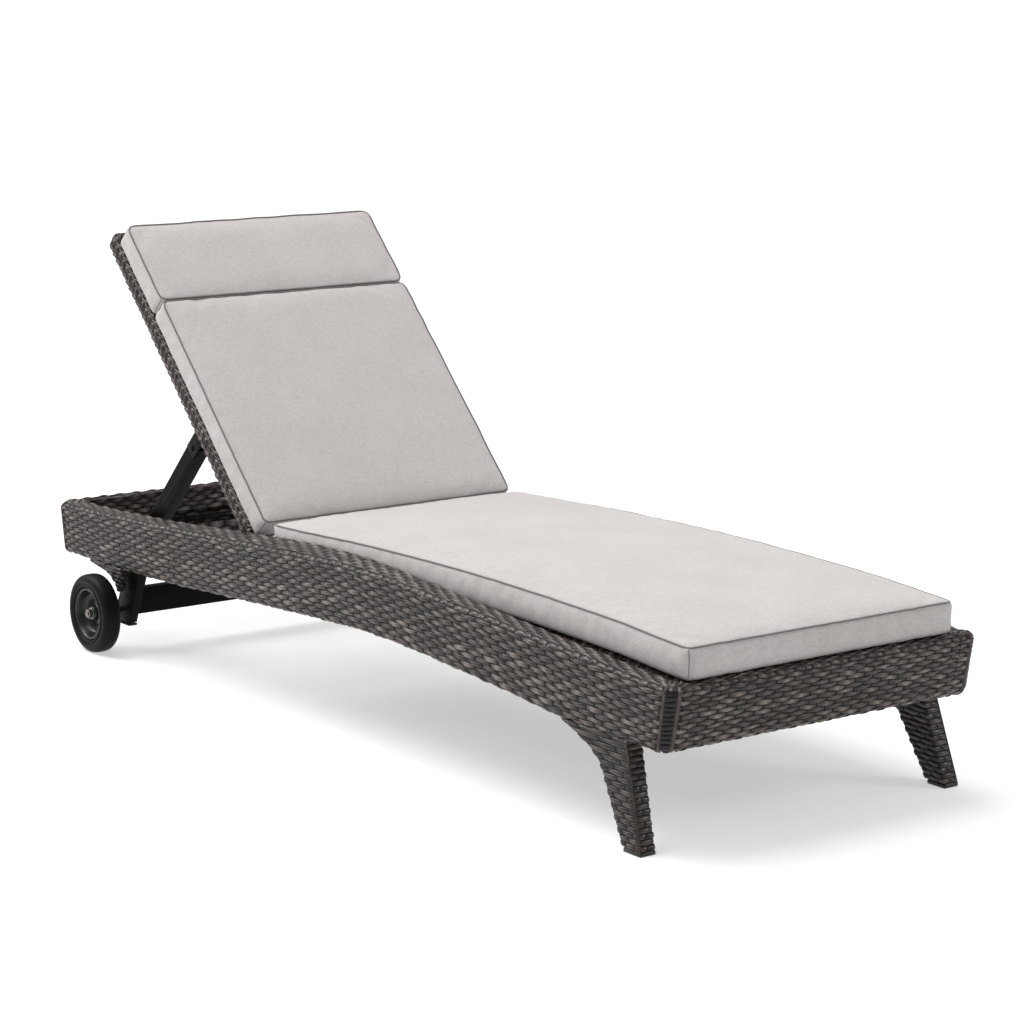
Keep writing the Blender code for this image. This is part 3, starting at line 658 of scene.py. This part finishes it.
def ringAround(low, high, z, corner, count, shares=(1, 1, 1, 1)):
    # count + 1 points round a rectangle with rounded corners, shared out between its sides, from one corner
    corner = min(corner, (high[0] - low[0]) / 2.1, (high[1] - low[1]) / 2.1)
    arcs = cornerArcs(low, high, corner)
    ring = []
    for number in range(4):
        path = arcs[number][4:] + arcs[(number + 1) % 4][:5]
        ring.append(walkAlong(path, count * shares[number] // sum(shares) + 1, True)[:-1])
    ring = np.concatenate(ring)
    ring = np.concatenate([ring, ring[:1]])
    return np.hstack([ring, np.full((len(ring), 1), z)])


leg = {
    "foot": 0.0079,
    "top": 0.177,
    "flareTop": 0.1685,
    "footX": 0.343,
    "width": 0.035,
    "corner": 0.006,
    "stakes": 12,
    "rows": 19,
    "relief": 0.0012,
    # the legs' weave is darkened by this factor as painted shade
    "paintedShade": 0.72,
}
gusset = {"xs": (0.3095, 0.3285), "low": 0.1225, "top": 0.173, "corner": 0.004, "stakes": 12, "rows": 6}
legRing = {"count": 96, "shares": (1, 2, 1, 2)}


def frontLegDense(side):
    # a leg that flares back into the rail and splays outwards to its foot
    rings = []
    for z in np.linspace(leg["foot"], leg["top"], 68):
        flare = 0.070 * (max(0.0, z - 0.115) / (leg["flareTop"] - 0.115)) ** 2.2
        rear = -0.888 + 0.58 * z + min(flare, 0.085)
        front = -0.936 + 0.31 * z
        outer = leg["footX"] - (leg["footX"] - lounger["outerX"]) * min(z, leg["flareTop"]) / leg["flareTop"]
        outer -= 0.55 * max(0.0, z - leg["flareTop"])  # slips under the rail's rounded edge
        xs = sorted((side * outer, side * (outer - leg["width"])))
        rings.append(ringAround((xs[0], front), (xs[1], rear), z, leg["corner"], **legRing))
    return np.array(rings).transpose(1, 0, 2)


def rearLegDense(side):
    # the block under the rail that hides the top of the rear leg
    rings = []
    for z in np.linspace(gusset["low"], gusset["top"], 30):
        front = 0.738 - 0.008 * (z - 0.122) / (float(railBottom(0.730)) - 0.123)
        a = math.acos(max(-1.0, min(1.0, 1 - max(0.0, 0.1645 - z) / 0.0425)))
        rear = max(front + 0.010, 0.862 - 0.112 * math.sin(a))
        outer = gusset["xs"][1] - 0.5 * max(0.0, z - 0.166)
        xs = sorted((side * gusset["xs"][0], side * outer))
        rings.append(ringAround((xs[0], front), (xs[1], rear), z, gusset["corner"], **legRing))
    return np.array(rings).transpose(1, 0, 2)


legWeave = {"relief": leg["relief"], "tube": True, "paintedShade": leg["paintedShade"]}
for word, side in sides.items():
    outerFront = 6 if side < 0 else 8
    weaveSkin(
        f"frontLegWeave_{word}", frontLegDense(side), leg["stakes"], leg["rows"], "base",
        [f"front_leg_wicker_{word}"],
        seed=21 + side,
        ridges=[(outerFront, -1, 99)],
        **legWeave,
    )
    weaveSkin(
        f"rearLegWeave_{word}", rearLegDense(side), gusset["stakes"], gusset["rows"], "base",
        [f"rear_leg_wicker_{word}"],
        seed=31 + side,
        **legWeave,
    )
print("legs woven")


backFrame = {
    "half": 0.2805,
    "length": 0.757,
    "front": 0.012,
    "rear": -0.030,
    "border": 0.033,
    "start": 0.036,
    "topDepth": 0.036,
    "corner": 0.007,
    "cap": 0.010,
    "stakes": 12,
    "sideRows": 84,
    "topRows": 56,
    "ringPoints": 192,
    "sideSteps": 200,
    "topSteps": 120,
}
hingePoint = Vector(lounger["hinge"])
backTurn = Matrix.Translation(hingePoint) @ Matrix.Rotation(lounger["recline"], 4, "X")


def ontoBack(points):
    turn = np.array(backTurn)
    return points @ turn[:3, :3].T + turn[:3, 3]


def shrunk(ring, centre, share):
    ring = ring.copy()
    ring[:, :2] = centre + (ring[:, :2] - centre) * share
    return ring


def sideBeamDense(xLow, xHigh):
    # a side beam of the backrest, closed at its top by rings that shrink to a point
    end = backFrame["length"]
    low, high = (xLow, backFrame["rear"]), (xHigh, backFrame["front"])
    centre = (np.array(low) + np.array(high)) / 2
    rings = []
    for u in np.linspace(backFrame["start"], end, backFrame["sideSteps"]):
        ring = ringAround(low, high, u, backFrame["corner"], backFrame["ringPoints"])
        near = max(0.0, u - (end - backFrame["cap"])) / backFrame["cap"]
        share = 1 - 0.35 * (1 - math.sqrt(max(0.0, 1 - near * near)))
        rings.append(shrunk(ring, centre, share))
    for share in (0.4, 0.2, 0.0):
        rings.append(shrunk(rings[-1], centre, share))
    dense = np.array(rings).transpose(1, 0, 2)
    return ontoBack(dense[..., [0, 2, 1]])


def topBeamDense():
    reach = backFrame["half"] - backFrame["border"] + 0.004  # runs into the side beams
    low = (backFrame["length"] - backFrame["topDepth"], backFrame["rear"])
    high = (backFrame["length"], backFrame["front"])
    rings = []
    for x in np.linspace(-reach, reach, backFrame["topSteps"]):
        rings.append(ringAround(low, high, x, backFrame["corner"], backFrame["ringPoints"]))
    dense = np.array(rings).transpose(1, 0, 2)
    return ontoBack(dense[..., [2, 0, 1]])


def chevrons(s):
    # turns the strands up and down again, twice on each face of a beam
    return 2.2 * (np.abs((s % 2) - 1) - 0.5)


backWeave = {"relief": 0.0014, "tube": True, "zigzag": chevrons}
for word, side in sides.items():
    low, high = sorted((side * backFrame["half"], side * (backFrame["half"] - backFrame["border"])))
    weaveSkin(
        f"backWeave_{word}", sideBeamDense(low, high), backFrame["stakes"], backFrame["sideRows"],
        "backrest", [f"back_wicker_{word}"],
        seed=41 + side,
        **backWeave,
    )
weaveSkin(
    "backWeave_top", topBeamDense(), backFrame["stakes"], backFrame["topRows"],
    "backrest", ["back_wicker_top"],
    seed=51,
    **backWeave,
)


panelSize = {"gap": 0.0004, "low": 0.030, "topGap": 0.0375, "height": 0.0068, "stakes": 20, "rows": 56}
deckSize = {"half": 0.2890, "low": -0.9530, "high": 0.228, "under": 0.0605, "lip": 0.012, "stakes": 24, "rows": 100}


def flatDense(xHalf, yLow, yHigh, height, lip=0.0):
    # a flat panel, whose front and side edges turn down by lip
    ys = np.linspace(yLow, yHigh, 241)
    front = np.clip((yLow + 0.020 - ys) / 0.014, 0, 1)
    grid = []
    for x in np.linspace(-xHalf, xHalf, 161):
        edge = np.maximum(front, np.clip((abs(x) - xHalf + 0.016) / 0.012, 0, 1))
        grid.append(np.stack([np.full(len(ys), x), ys, height(ys) - lip * edge**2 * (3 - 2 * edge)], axis=1))
    return np.array(grid)


panel = flatDense(
    backFrame["half"] - backFrame["border"] - panelSize["gap"],
    panelSize["low"],
    backFrame["length"] - panelSize["topGap"],
    lambda y: np.full(len(y), panelSize["height"]),
)
panelUp = (0, -math.sin(lounger["recline"]), math.cos(lounger["recline"]))
weaveSkin(
    "backPanelWeave", ontoBack(panel), panelSize["stakes"], panelSize["rows"], "backrest", ["back_panel"],
    seed=61,
    up=panelUp,
)
deck = flatDense(
    deckSize["half"], deckSize["low"], deckSize["high"], lambda y: seatLine(y) - deckSize["under"], deckSize["lip"]
)
weaveSkin(
    "seatDeckWeave", deck, deckSize["stakes"], deckSize["rows"], "base", ["seat_deck"],
    seed=62,
    up=(0, 0, 1),
)
print("backrest and deck woven")


wheel = {"centre": (0.778, 0.0785), "face": 0.381, "width": 0.040, "turns": 96}
# profiles hold the distance in from the outer face, and the radius
tyreProfile = [
    (0.0050, 0.0526), (0.0022, 0.0534), (0.0010, 0.0548), (0.0008, 0.0562), (0.0014, 0.0574), (0.0026, 0.0582),
    (0.0024, 0.0600), (0.0012, 0.0622), (0.0006, 0.0650), (0.0008, 0.0682), (0.0018, 0.0715), (0.0034, 0.0742),
    (0.0056, 0.0762), (0.0084, 0.0775), (0.0120, 0.0782), (0.0160, 0.0785),
]
tyreProfile += [(wheel["width"] - x, radius) for x, radius in reversed(tyreProfile)]
hubProfile = [
    (0.0120, 0.0064), (0.0120, 0.0118), (0.0126, 0.0130), (0.0150, 0.0142), (0.0196, 0.0150), (0.0212, 0.0162),
    (0.0218, 0.0182), (0.0221, 0.0225), (0.0232, 0.0240), (0.0236, 0.0300), (0.0228, 0.0372), (0.0210, 0.0400),
    (0.0184, 0.0416), (0.0120, 0.0440), (0.0062, 0.0458), (0.0040, 0.0468), (0.0030, 0.0482), (0.0028, 0.0496),
    (0.0034, 0.0510), (0.0050, 0.0520), (0.0360, 0.0520), (0.0360, 0.0465), (0.0330, 0.0440), (0.0285, 0.0425),
    (0.0280, 0.0165), (0.0490, 0.0140), (0.0500, 0.0130), (0.0500, 0.0064),
]
boltProfile = [
    (0.0002, 0.0), (0.0004, 0.0046), (0.0014, 0.0059), (0.0906, 0.0059), (0.0914, 0.0100), (0.0958, 0.0100),
    (0.0972, 0.0086), (0.0975, 0.0),
]
washerProfile = [(0.0104, 0.0064), (0.0104, 0.0112), (0.0108, 0.0116), (0.0118, 0.0116), (0.0118, 0.0064)]


def turnAround(name, profile, side, look, body, nodes, centre=None, turns=48):
    # spins a profile round the wheel's axle, or round another (y, z) centre
    y, z = centre or wheel["centre"]
    clearSelection()
    bpy.ops.mesh.primitive_circle_add(vertices=len(profile), radius=0.01)
    piece = bpy.context.object
    piece.name = name
    ring = np.array([(side * (wheel["face"] - x), y, z + radius) for x, radius in profile], np.float32)
    piece.data.vertices.foreach_set("co", ring.ravel())
    bpy.ops.object.mode_set(mode="EDIT")
    bpy.ops.mesh.select_all(action="SELECT")
    bpy.ops.mesh.spin(steps=turns, angle=math.tau, center=(0, y, z), axis=(1, 0, 0))
    bpy.ops.mesh.select_all(action="SELECT")
    bpy.ops.mesh.remove_doubles(threshold=0.00001)
    bpy.ops.mesh.delete_loose()
    bpy.ops.mesh.select_all(action="SELECT")
    bpy.ops.mesh.normals_make_consistent(inside=False)
    bpy.ops.object.mode_set(mode="OBJECT")
    bpy.ops.object.shade_smooth_by_angle(angle=math.radians(38))
    wear(piece, look)
    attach(piece, body)
    if nodes:
        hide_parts(*nodes)
    return piece


def roundEdges(piece, width):
    soften = piece.modifiers.new("soften", "BEVEL")
    soften.width = width
    soften.segments = 3
    soften.limit_method = "ANGLE"
    soften.angle_limit = math.radians(50)
    soften.use_clamp_overlap = True
    applyModifier(piece, "soften")


def hexNut(name, side, across, low, high, body, nodes):
    # a six-sided nut with rounded edges, between two distances from the outer face
    y, z = wheel["centre"]
    clearSelection()
    middle = wheel["face"] - (low + high) / 2
    bpy.ops.mesh.primitive_cylinder_add(
        vertices=6,
        radius=across,
        depth=high - low,
        location=(side * middle, y, z),
        rotation=(0, math.pi / 2, 0),
    )
    piece = bpy.context.object
    piece.name = name
    settle(piece)
    roundEdges(piece, 0.0011)
    bpy.ops.object.shade_smooth_by_angle(angle=math.radians(30))
    wear(piece, zincSteel)
    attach(piece, body)
    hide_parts(*nodes)
    return piece


for word, side in sides.items():
    body = f"wheel_{word}"
    fine = wheel["turns"]
    turnAround(f"tyreRing_{word}", tyreProfile, side, tyreRubber, body, [f"tyre_{word}"], turns=fine)
    turnAround(f"wheelDisc_{word}", hubProfile, side, hubPlastic, body, [f"wheel_hub_{word}"], turns=fine)
    turnAround(f"axleRod_{word}", boltProfile, side, zincSteel, "base", [f"axle_bolt_{word}"])
    turnAround(f"axleWasher_{word}", washerProfile, side, zincSteel, "base", [])
    hexNut(f"axleNut_{word}", side, 0.0098, 0.0032, 0.0102, "base", [f"axle_nut_{word}"])
print("wheels turned")


def softenEdges(node, width, body, look):
    # the CAD piece again, with its edges rounded
    source = frame["nodes"][node]
    piece = bpy.data.objects.new("soft_" + node, source.data.copy())
    bpy.context.scene.collection.objects.link(piece)
    pick(piece)
    bpy.ops.object.mode_set(mode="EDIT")
    bpy.ops.mesh.select_all(action="SELECT")
    bpy.ops.mesh.remove_doubles(threshold=0.00001)
    bpy.ops.mesh.dissolve_limited(angle_limit=math.radians(2))
    bpy.ops.object.mode_set(mode="OBJECT")
    roundEdges(piece, width)
    bpy.ops.object.shade_smooth_by_angle(angle=math.radians(35))
    wear(piece, look)
    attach(piece, body)
    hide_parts(node)
    return piece


# edge rounding and body of the metal parts that come in pairs
steelEdges = {
    "rear_leg_tube": (0.0022, "base"),
    "hinge_plate": (0.0008, "base"),
    "notch_rack": (0.0006, "base"),
    "prop_leg": (0.0022, "prop"),
    "prop_bracket": (0.0008, "backrest"),
}
padShare = 0.90
for stem, (width, body) in steelEdges.items():
    for word in sides:
        softenEdges(f"{stem}_{word}", width, body, powderCoat)
softenEdges("wheel_stretcher", 0.0026, "base", powderCoat)
for word in sides:
    pad = softenEdges(f"front_glide_{word}", 0.0025, "base", hubPlastic)
    low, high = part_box(f"front_glide_{word}")
    middle = Vector([(a + b) / 2 for a, b in zip(low, high)])
    for vertex in pad.data.vertices:
        vertex.co.x = middle.x + (vertex.co.x - middle.x) * padShare
        vertex.co.y = middle.y + (vertex.co.y - middle.y) * padShare

rivetProfile = [
    (0.0, 0.0), (0.0002, 0.0022), (0.0008, 0.0042), (0.0018, 0.0056), (0.0028, 0.0062), (0.0034, 0.0062),
    (0.0034, 0.0),
]


def rivet(name, x, y, z, side, body):
    # a low domed head whose flat back stands at x
    thick = rivetProfile[-1][0]
    profile = [(wheel["face"] - abs(x) - thick + step, radius) for step, radius in rivetProfile]
    return turnAround(name, profile, side, powderCoat, body, [], centre=(y, z), turns=32)


for word, side in sides.items():
    low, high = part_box(f"prop_pin_{word}")
    y, z = (low[1] + high[1]) / 2, (low[2] + high[2]) / 2
    rivet(f"propRivet_{word}", max(abs(low[0]), abs(high[0])) - 0.0012, y, z, side, "prop")
print("metal parts finished")


cushion = {
    "piping": 0.0015,
    "seam": 0.0007,
    "corner": 0.010,
    "voxel": 0.0065,
    "cap": 0.009,
    "backCap": 0.006,
    "pucker": 0.0011,
    "fill": 0.7,
    "frames": 20,
}
coverCloth = {
    "quality": 4,
    "mass": 0.25,
    "tension_stiffness": 12,
    "compression_stiffness": 12,
    "bending_stiffness": 0.4,
    "use_pressure": True,
    "uniform_pressure_force": 4.0,
    "shrink_min": -0.015,
}


def edgeLoop(halfX, yLow, yHigh, corner, step):
    # points round a cushion's outline
    path = sum(cornerArcs((-halfX, yLow), (halfX, yHigh), corner), [])
    path.append(path[0])
    length = np.linalg.norm(np.diff(np.array(path), axis=0), axis=1).sum()
    return walkAlong(path, int(length / step), False)


def outlineDistance(x, y, halfX, yLow, yHigh, corner):
    # distance inside the rounded outline
    qx = np.abs(x) - (halfX - corner)
    qy = np.abs(y - (yLow + yHigh) / 2) - ((yHigh - yLow) / 2 - corner)
    outside = np.hypot(np.maximum(qx, 0), np.maximum(qy, 0)) + np.minimum(np.maximum(qx, qy), 0)
    return corner - outside


def sewCushion(name, halfX, yLow, yHigh, zLow, zHigh, place, look, body, node, cap):
    # a filled cover: a rounded block swollen by air pressure, by at most cap
    corner = cushion["corner"]
    clearSelection()
    bpy.ops.mesh.primitive_cube_add(size=1.0, location=(0, (yLow + yHigh) / 2, (zLow + zHigh) / 2))
    piece = bpy.context.object
    piece.name = name
    piece.scale = (2 * halfX, yHigh - yLow, zHigh - zLow)
    settle(piece)
    bpy.ops.object.mode_set(mode="EDIT")
    bpy.ops.mesh.select_mode(type="EDGE")
    bpy.ops.mesh.select_all(action="DESELECT")
    bpy.ops.object.mode_set(mode="OBJECT")
    for edge in piece.data.edges:
        a, b = (piece.data.vertices[k].co for k in edge.vertices)
        edge.select = abs(a.z - b.z) > 0.01
    bpy.ops.object.mode_set(mode="EDIT")
    bpy.ops.mesh.bevel(offset=corner, segments=8, affect="EDGES")
    bpy.ops.object.mode_set(mode="OBJECT")
    remesh = piece.modifiers.new("voxels", "REMESH")
    remesh.mode = "VOXEL"
    remesh.voxel_size = cushion["voxel"]
    applyModifier(piece, "voxels")
    mesh = piece.data
    start = vertexPlaces(mesh)
    inside = outlineDistance(start[:, 0], start[:, 1], halfX, yLow, yHigh, corner)
    nearRim = inside < 0.006
    pinned = nearRim & ((start[:, 2] > zHigh - 0.006) | (start[:, 2] < zLow + 0.006))
    final = start.copy()
    group = piece.vertex_groups.new(name="seam")
    group.add(np.nonzero(pinned)[0].tolist(), 1.0, "REPLACE")
    cloth = piece.modifiers.new("cover", "CLOTH")
    settings = cloth.settings
    for key, value in coverCloth.items():
        setattr(settings, key, value)
    settings.vertex_group_mass = "seam"
    settings.effector_weights.gravity = 0.0
    scene = bpy.context.scene
    for number in range(1, cushion["frames"] + 1):
        scene.frame_set(number)
    final = vertexPlaces(piece.evaluated_get(bpy.context.evaluated_depsgraph_get()).data)
    piece.modifiers.remove(cloth)
    piece.vertex_groups.clear()
    scene.frame_set(1)
    move = final - start
    far = np.linalg.norm(move, axis=1, keepdims=True)
    limit = np.where(start[:, 2:3] < zLow + 0.004, 0.0015, cap)
    move = move * np.minimum(1, limit * np.tanh(far / limit) / np.maximum(far, 1e-9))
    final = start + move
    # small puckers in the cloth beside the seams
    wrinkle = np.array([noise.noise(Vector(p)) for p in start * (34.0, 34.0, 9.0)])
    rim = np.exp(-np.clip(inside, 0, None) / 0.022) * (start[:, 2] > zLow + 0.01)
    final[:, 2] += cushion["pucker"] * wrinkle * rim
    outward = start[:, :2] / np.array([halfX, (yHigh - yLow) / 2]) - [0.0, (yLow + yHigh) / (yHigh - yLow)]
    outward = np.where(np.abs(outward) > 0.985, np.sign(outward), 0.0)
    final[:, :2] += cushion["pucker"] * wrinkle[:, None] * outward
    final = place(final)
    mesh.vertices.foreach_set("co", final.astype(np.float32).ravel())
    mesh.update()
    soften = piece.modifiers.new("soften", "SMOOTH")
    soften.iterations = 3
    soften.factor = 0.5
    applyModifier(piece, "soften")
    bpy.ops.object.shade_smooth()
    wear(piece, look)
    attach(piece, body)
    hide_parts(node)
    print(name, len(mesh.polygons), "faces")
    return piece


def onSurface(cover, points, stand):
    # moves points to the cover's nearest place, raised by stand
    tree = BVHTree.FromPolygons([v.co for v in cover.data.vertices], [p.vertices for p in cover.data.polygons])
    moved = []
    for point in points:
        place, normal, _, _ = tree.find_nearest(Vector(point))
        moved.append(place + normal * stand)
    return np.array(moved)


def sewPiping(name, lines, body, radius, closed=True):
    # cords in the seams, each along a line of points
    data = bpy.data.curves.new(name, "CURVE")
    data.dimensions = "3D"
    for line in lines:
        spline = data.splines.new("POLY")
        spline.points.add(len(line) - 1)
        spline.points.foreach_set("co", np.hstack([line, np.ones((len(line), 1))]).astype(np.float32).ravel())
        spline.use_cyclic_u = closed
    data.bevel_depth = radius
    data.bevel_resolution = 3
    data.use_fill_caps = not closed
    piece = bpy.data.objects.new(name, data)
    bpy.context.scene.collection.objects.link(piece)
    pick(piece)
    bpy.ops.object.convert(target="MESH")
    piece = bpy.context.object
    bpy.ops.object.shade_smooth()
    wear(piece, pipingCloth)
    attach(piece, body)
    return piece


def sewSeams(cover, stem, spec, place, body):
    # the piping round the top edge, and a plain seam down each corner
    halfX, yLow, yHigh = spec["halfX"], spec["yLow"], spec["yHigh"]
    loop = edgeLoop(halfX, yLow, yHigh, cushion["corner"], 0.006)
    loop = onSurface(cover, place(np.hstack([loop, np.full((len(loop), 1), spec["zHigh"])])), 0.0009)
    for _ in range(3):
        loop = (np.roll(loop, 1, axis=0) + 2 * loop + np.roll(loop, -1, axis=0)) / 4
    sewPiping(stem + "Piping", [loop], body, cushion["piping"])
    inset = cushion["corner"] * (1 - math.sqrt(0.5))
    lines = []
    for x in (-halfX + inset, halfX - inset):
        for y in (yLow + inset, yHigh - inset):
            heights = np.linspace(spec["zLow"] + 0.005, spec["zHigh"] - 0.004, 9)
            line = np.stack([np.full(9, x), np.full(9, y), heights], axis=1)
            lines.append(onSurface(cover, place(line), -0.0002))
    sewPiping(stem + "Seams", lines, body, cushion["seam"], closed=False)


def placeSeat(points):
    moved = points.copy()
    moved[:, 2] += seatLine(points[:, 1])
    return moved


seatSpec = {"halfX": 0.282, "yLow": -0.974, "yHigh": 0.234, "zLow": -0.0575, "zHigh": -0.001}
cover = sewCushion(
    "seatCushion", **seatSpec, place=placeSeat, look=seatCloth, body="base", node="seat_cushion", cap=cushion["cap"]
)
sewSeams(cover, "seat", seatSpec, placeSeat, "base")

backLow = backFrame["front"] + 0.0006
backSpans = {"back": ("back_cushion", 0.015, 0.5434), "head": ("headrest_cushion", 0.5446, 0.730)}
for stem, (node, yLow, yHigh) in backSpans.items():
    spec = {"halfX": 0.2815, "yLow": yLow, "yHigh": yHigh, "zLow": backLow, "zHigh": backLow + 0.0475}
    cover = sewCushion(
        stem + "Cushion", **spec, place=ontoBack, look=backClothLightened, body="backrest", node=node, cap=cushion["backCap"]
    )
    sewSeams(cover, stem, spec, ontoBack, "backrest")
print("cushions sewn")


studio = {
    "floor": 0.5,
    "floorGlow": 0.50,
    "room": 0.5,
    "backdrop": 1.0,
    "sky": 3.0,
    "lens": 106.9,
    "camera": (-3.1719, -4.4660, 1.4181),
    "down": 10.911,
    "turn": -36.193,
}

clearSelection()
bpy.ops.mesh.primitive_plane_add(size=400, location=(0, 0, 0))
floor = bpy.context.object
floor.name = "floor"
floorLook, floorTree, floorShader = newMaterial("paleFloor")
floorShader.inputs["Base Color"].default_value = (studio["floor"], studio["floor"], studio["floor"], 1)
floorShader.inputs["Roughness"].default_value = 0.9
floorShader.inputs["Specular IOR Level"].default_value = 0.0
floorShader.inputs["Emission Color"].default_value = (1, 1, 1, 1)
floorShader.inputs["Emission Strength"].default_value = studio["floorGlow"]
floor.data.materials.append(floorLook)

world = bpy.data.worlds.new("studio")
bpy.context.scene.world = world
world.use_nodes = True
air, wires = world.node_tree.nodes, world.node_tree.links
air["Background"].inputs[0].default_value = (1, 1, 1, 1)
air["Background"].inputs[1].default_value = studio["room"]
# the backdrop itself stays white, while the room's light is softer
backdrop = addNode(world.node_tree, "ShaderNodeBackground", Color=(1, 1, 1, 1), Strength=studio["backdrop"])
seen = air.new("ShaderNodeLightPath")
blend = air.new("ShaderNodeMixShader")
wires.new(seen.outputs["Is Camera Ray"], blend.inputs[0])
wires.new(air["Background"].outputs[0], blend.inputs[1])
wires.new(backdrop.outputs[0], blend.inputs[2])
wires.new(blend.outputs[0], air["World Output"].inputs["Surface"])


def softLight(name, place, target, size, power):
    data = bpy.data.lights.new(name, "AREA")
    data.shape = "RECTANGLE"
    data.size, data.size_y = size
    data.energy = power
    lamp = bpy.data.objects.new(name, data)
    lamp.location = place
    lamp.rotation_euler = (Vector(target) - Vector(place)).to_track_quat("-Z", "Y").to_euler()
    bpy.context.scene.collection.objects.link(lamp)
    return lamp


softLight("overhead", (-0.9, 0.5, 3.2), (0, 0, 0.2), (2.2, 2.6), 22)
softLight("headLeft", (-2.6, 4.0, 2.2), (-0.2, 0, 0.2), (0.8, 0.5), 36)
softLight("footRight", (3.0, -3.4, 2.5), (0, -0.9, 0.2), (1.2, 0.8), 45)

sunData = bpy.data.lights.new("sky", "SUN")
sunData.energy = studio["sky"]
sunData.angle = math.radians(50)
sun = bpy.data.objects.new("sky", sunData)
sun.rotation_euler = Vector((-0.22, 0.42, 0.88)).to_track_quat("Z", "Y").to_euler()
bpy.context.scene.collection.objects.link(sun)

cameraData = bpy.data.cameras.new("camera")
cameraData.sensor_width = 36
cameraData.lens = studio["lens"]
cameraData.clip_end = 200
camera = bpy.data.objects.new("camera", cameraData)
camera.location = studio["camera"]
camera.rotation_euler = (math.radians(90 - studio["down"]), 0, math.radians(studio["turn"]))
bpy.context.scene.collection.objects.link(camera)
bpy.context.scene.camera = camera
bpy.context.scene.view_settings.view_transform = "Standard"

clearSelection()
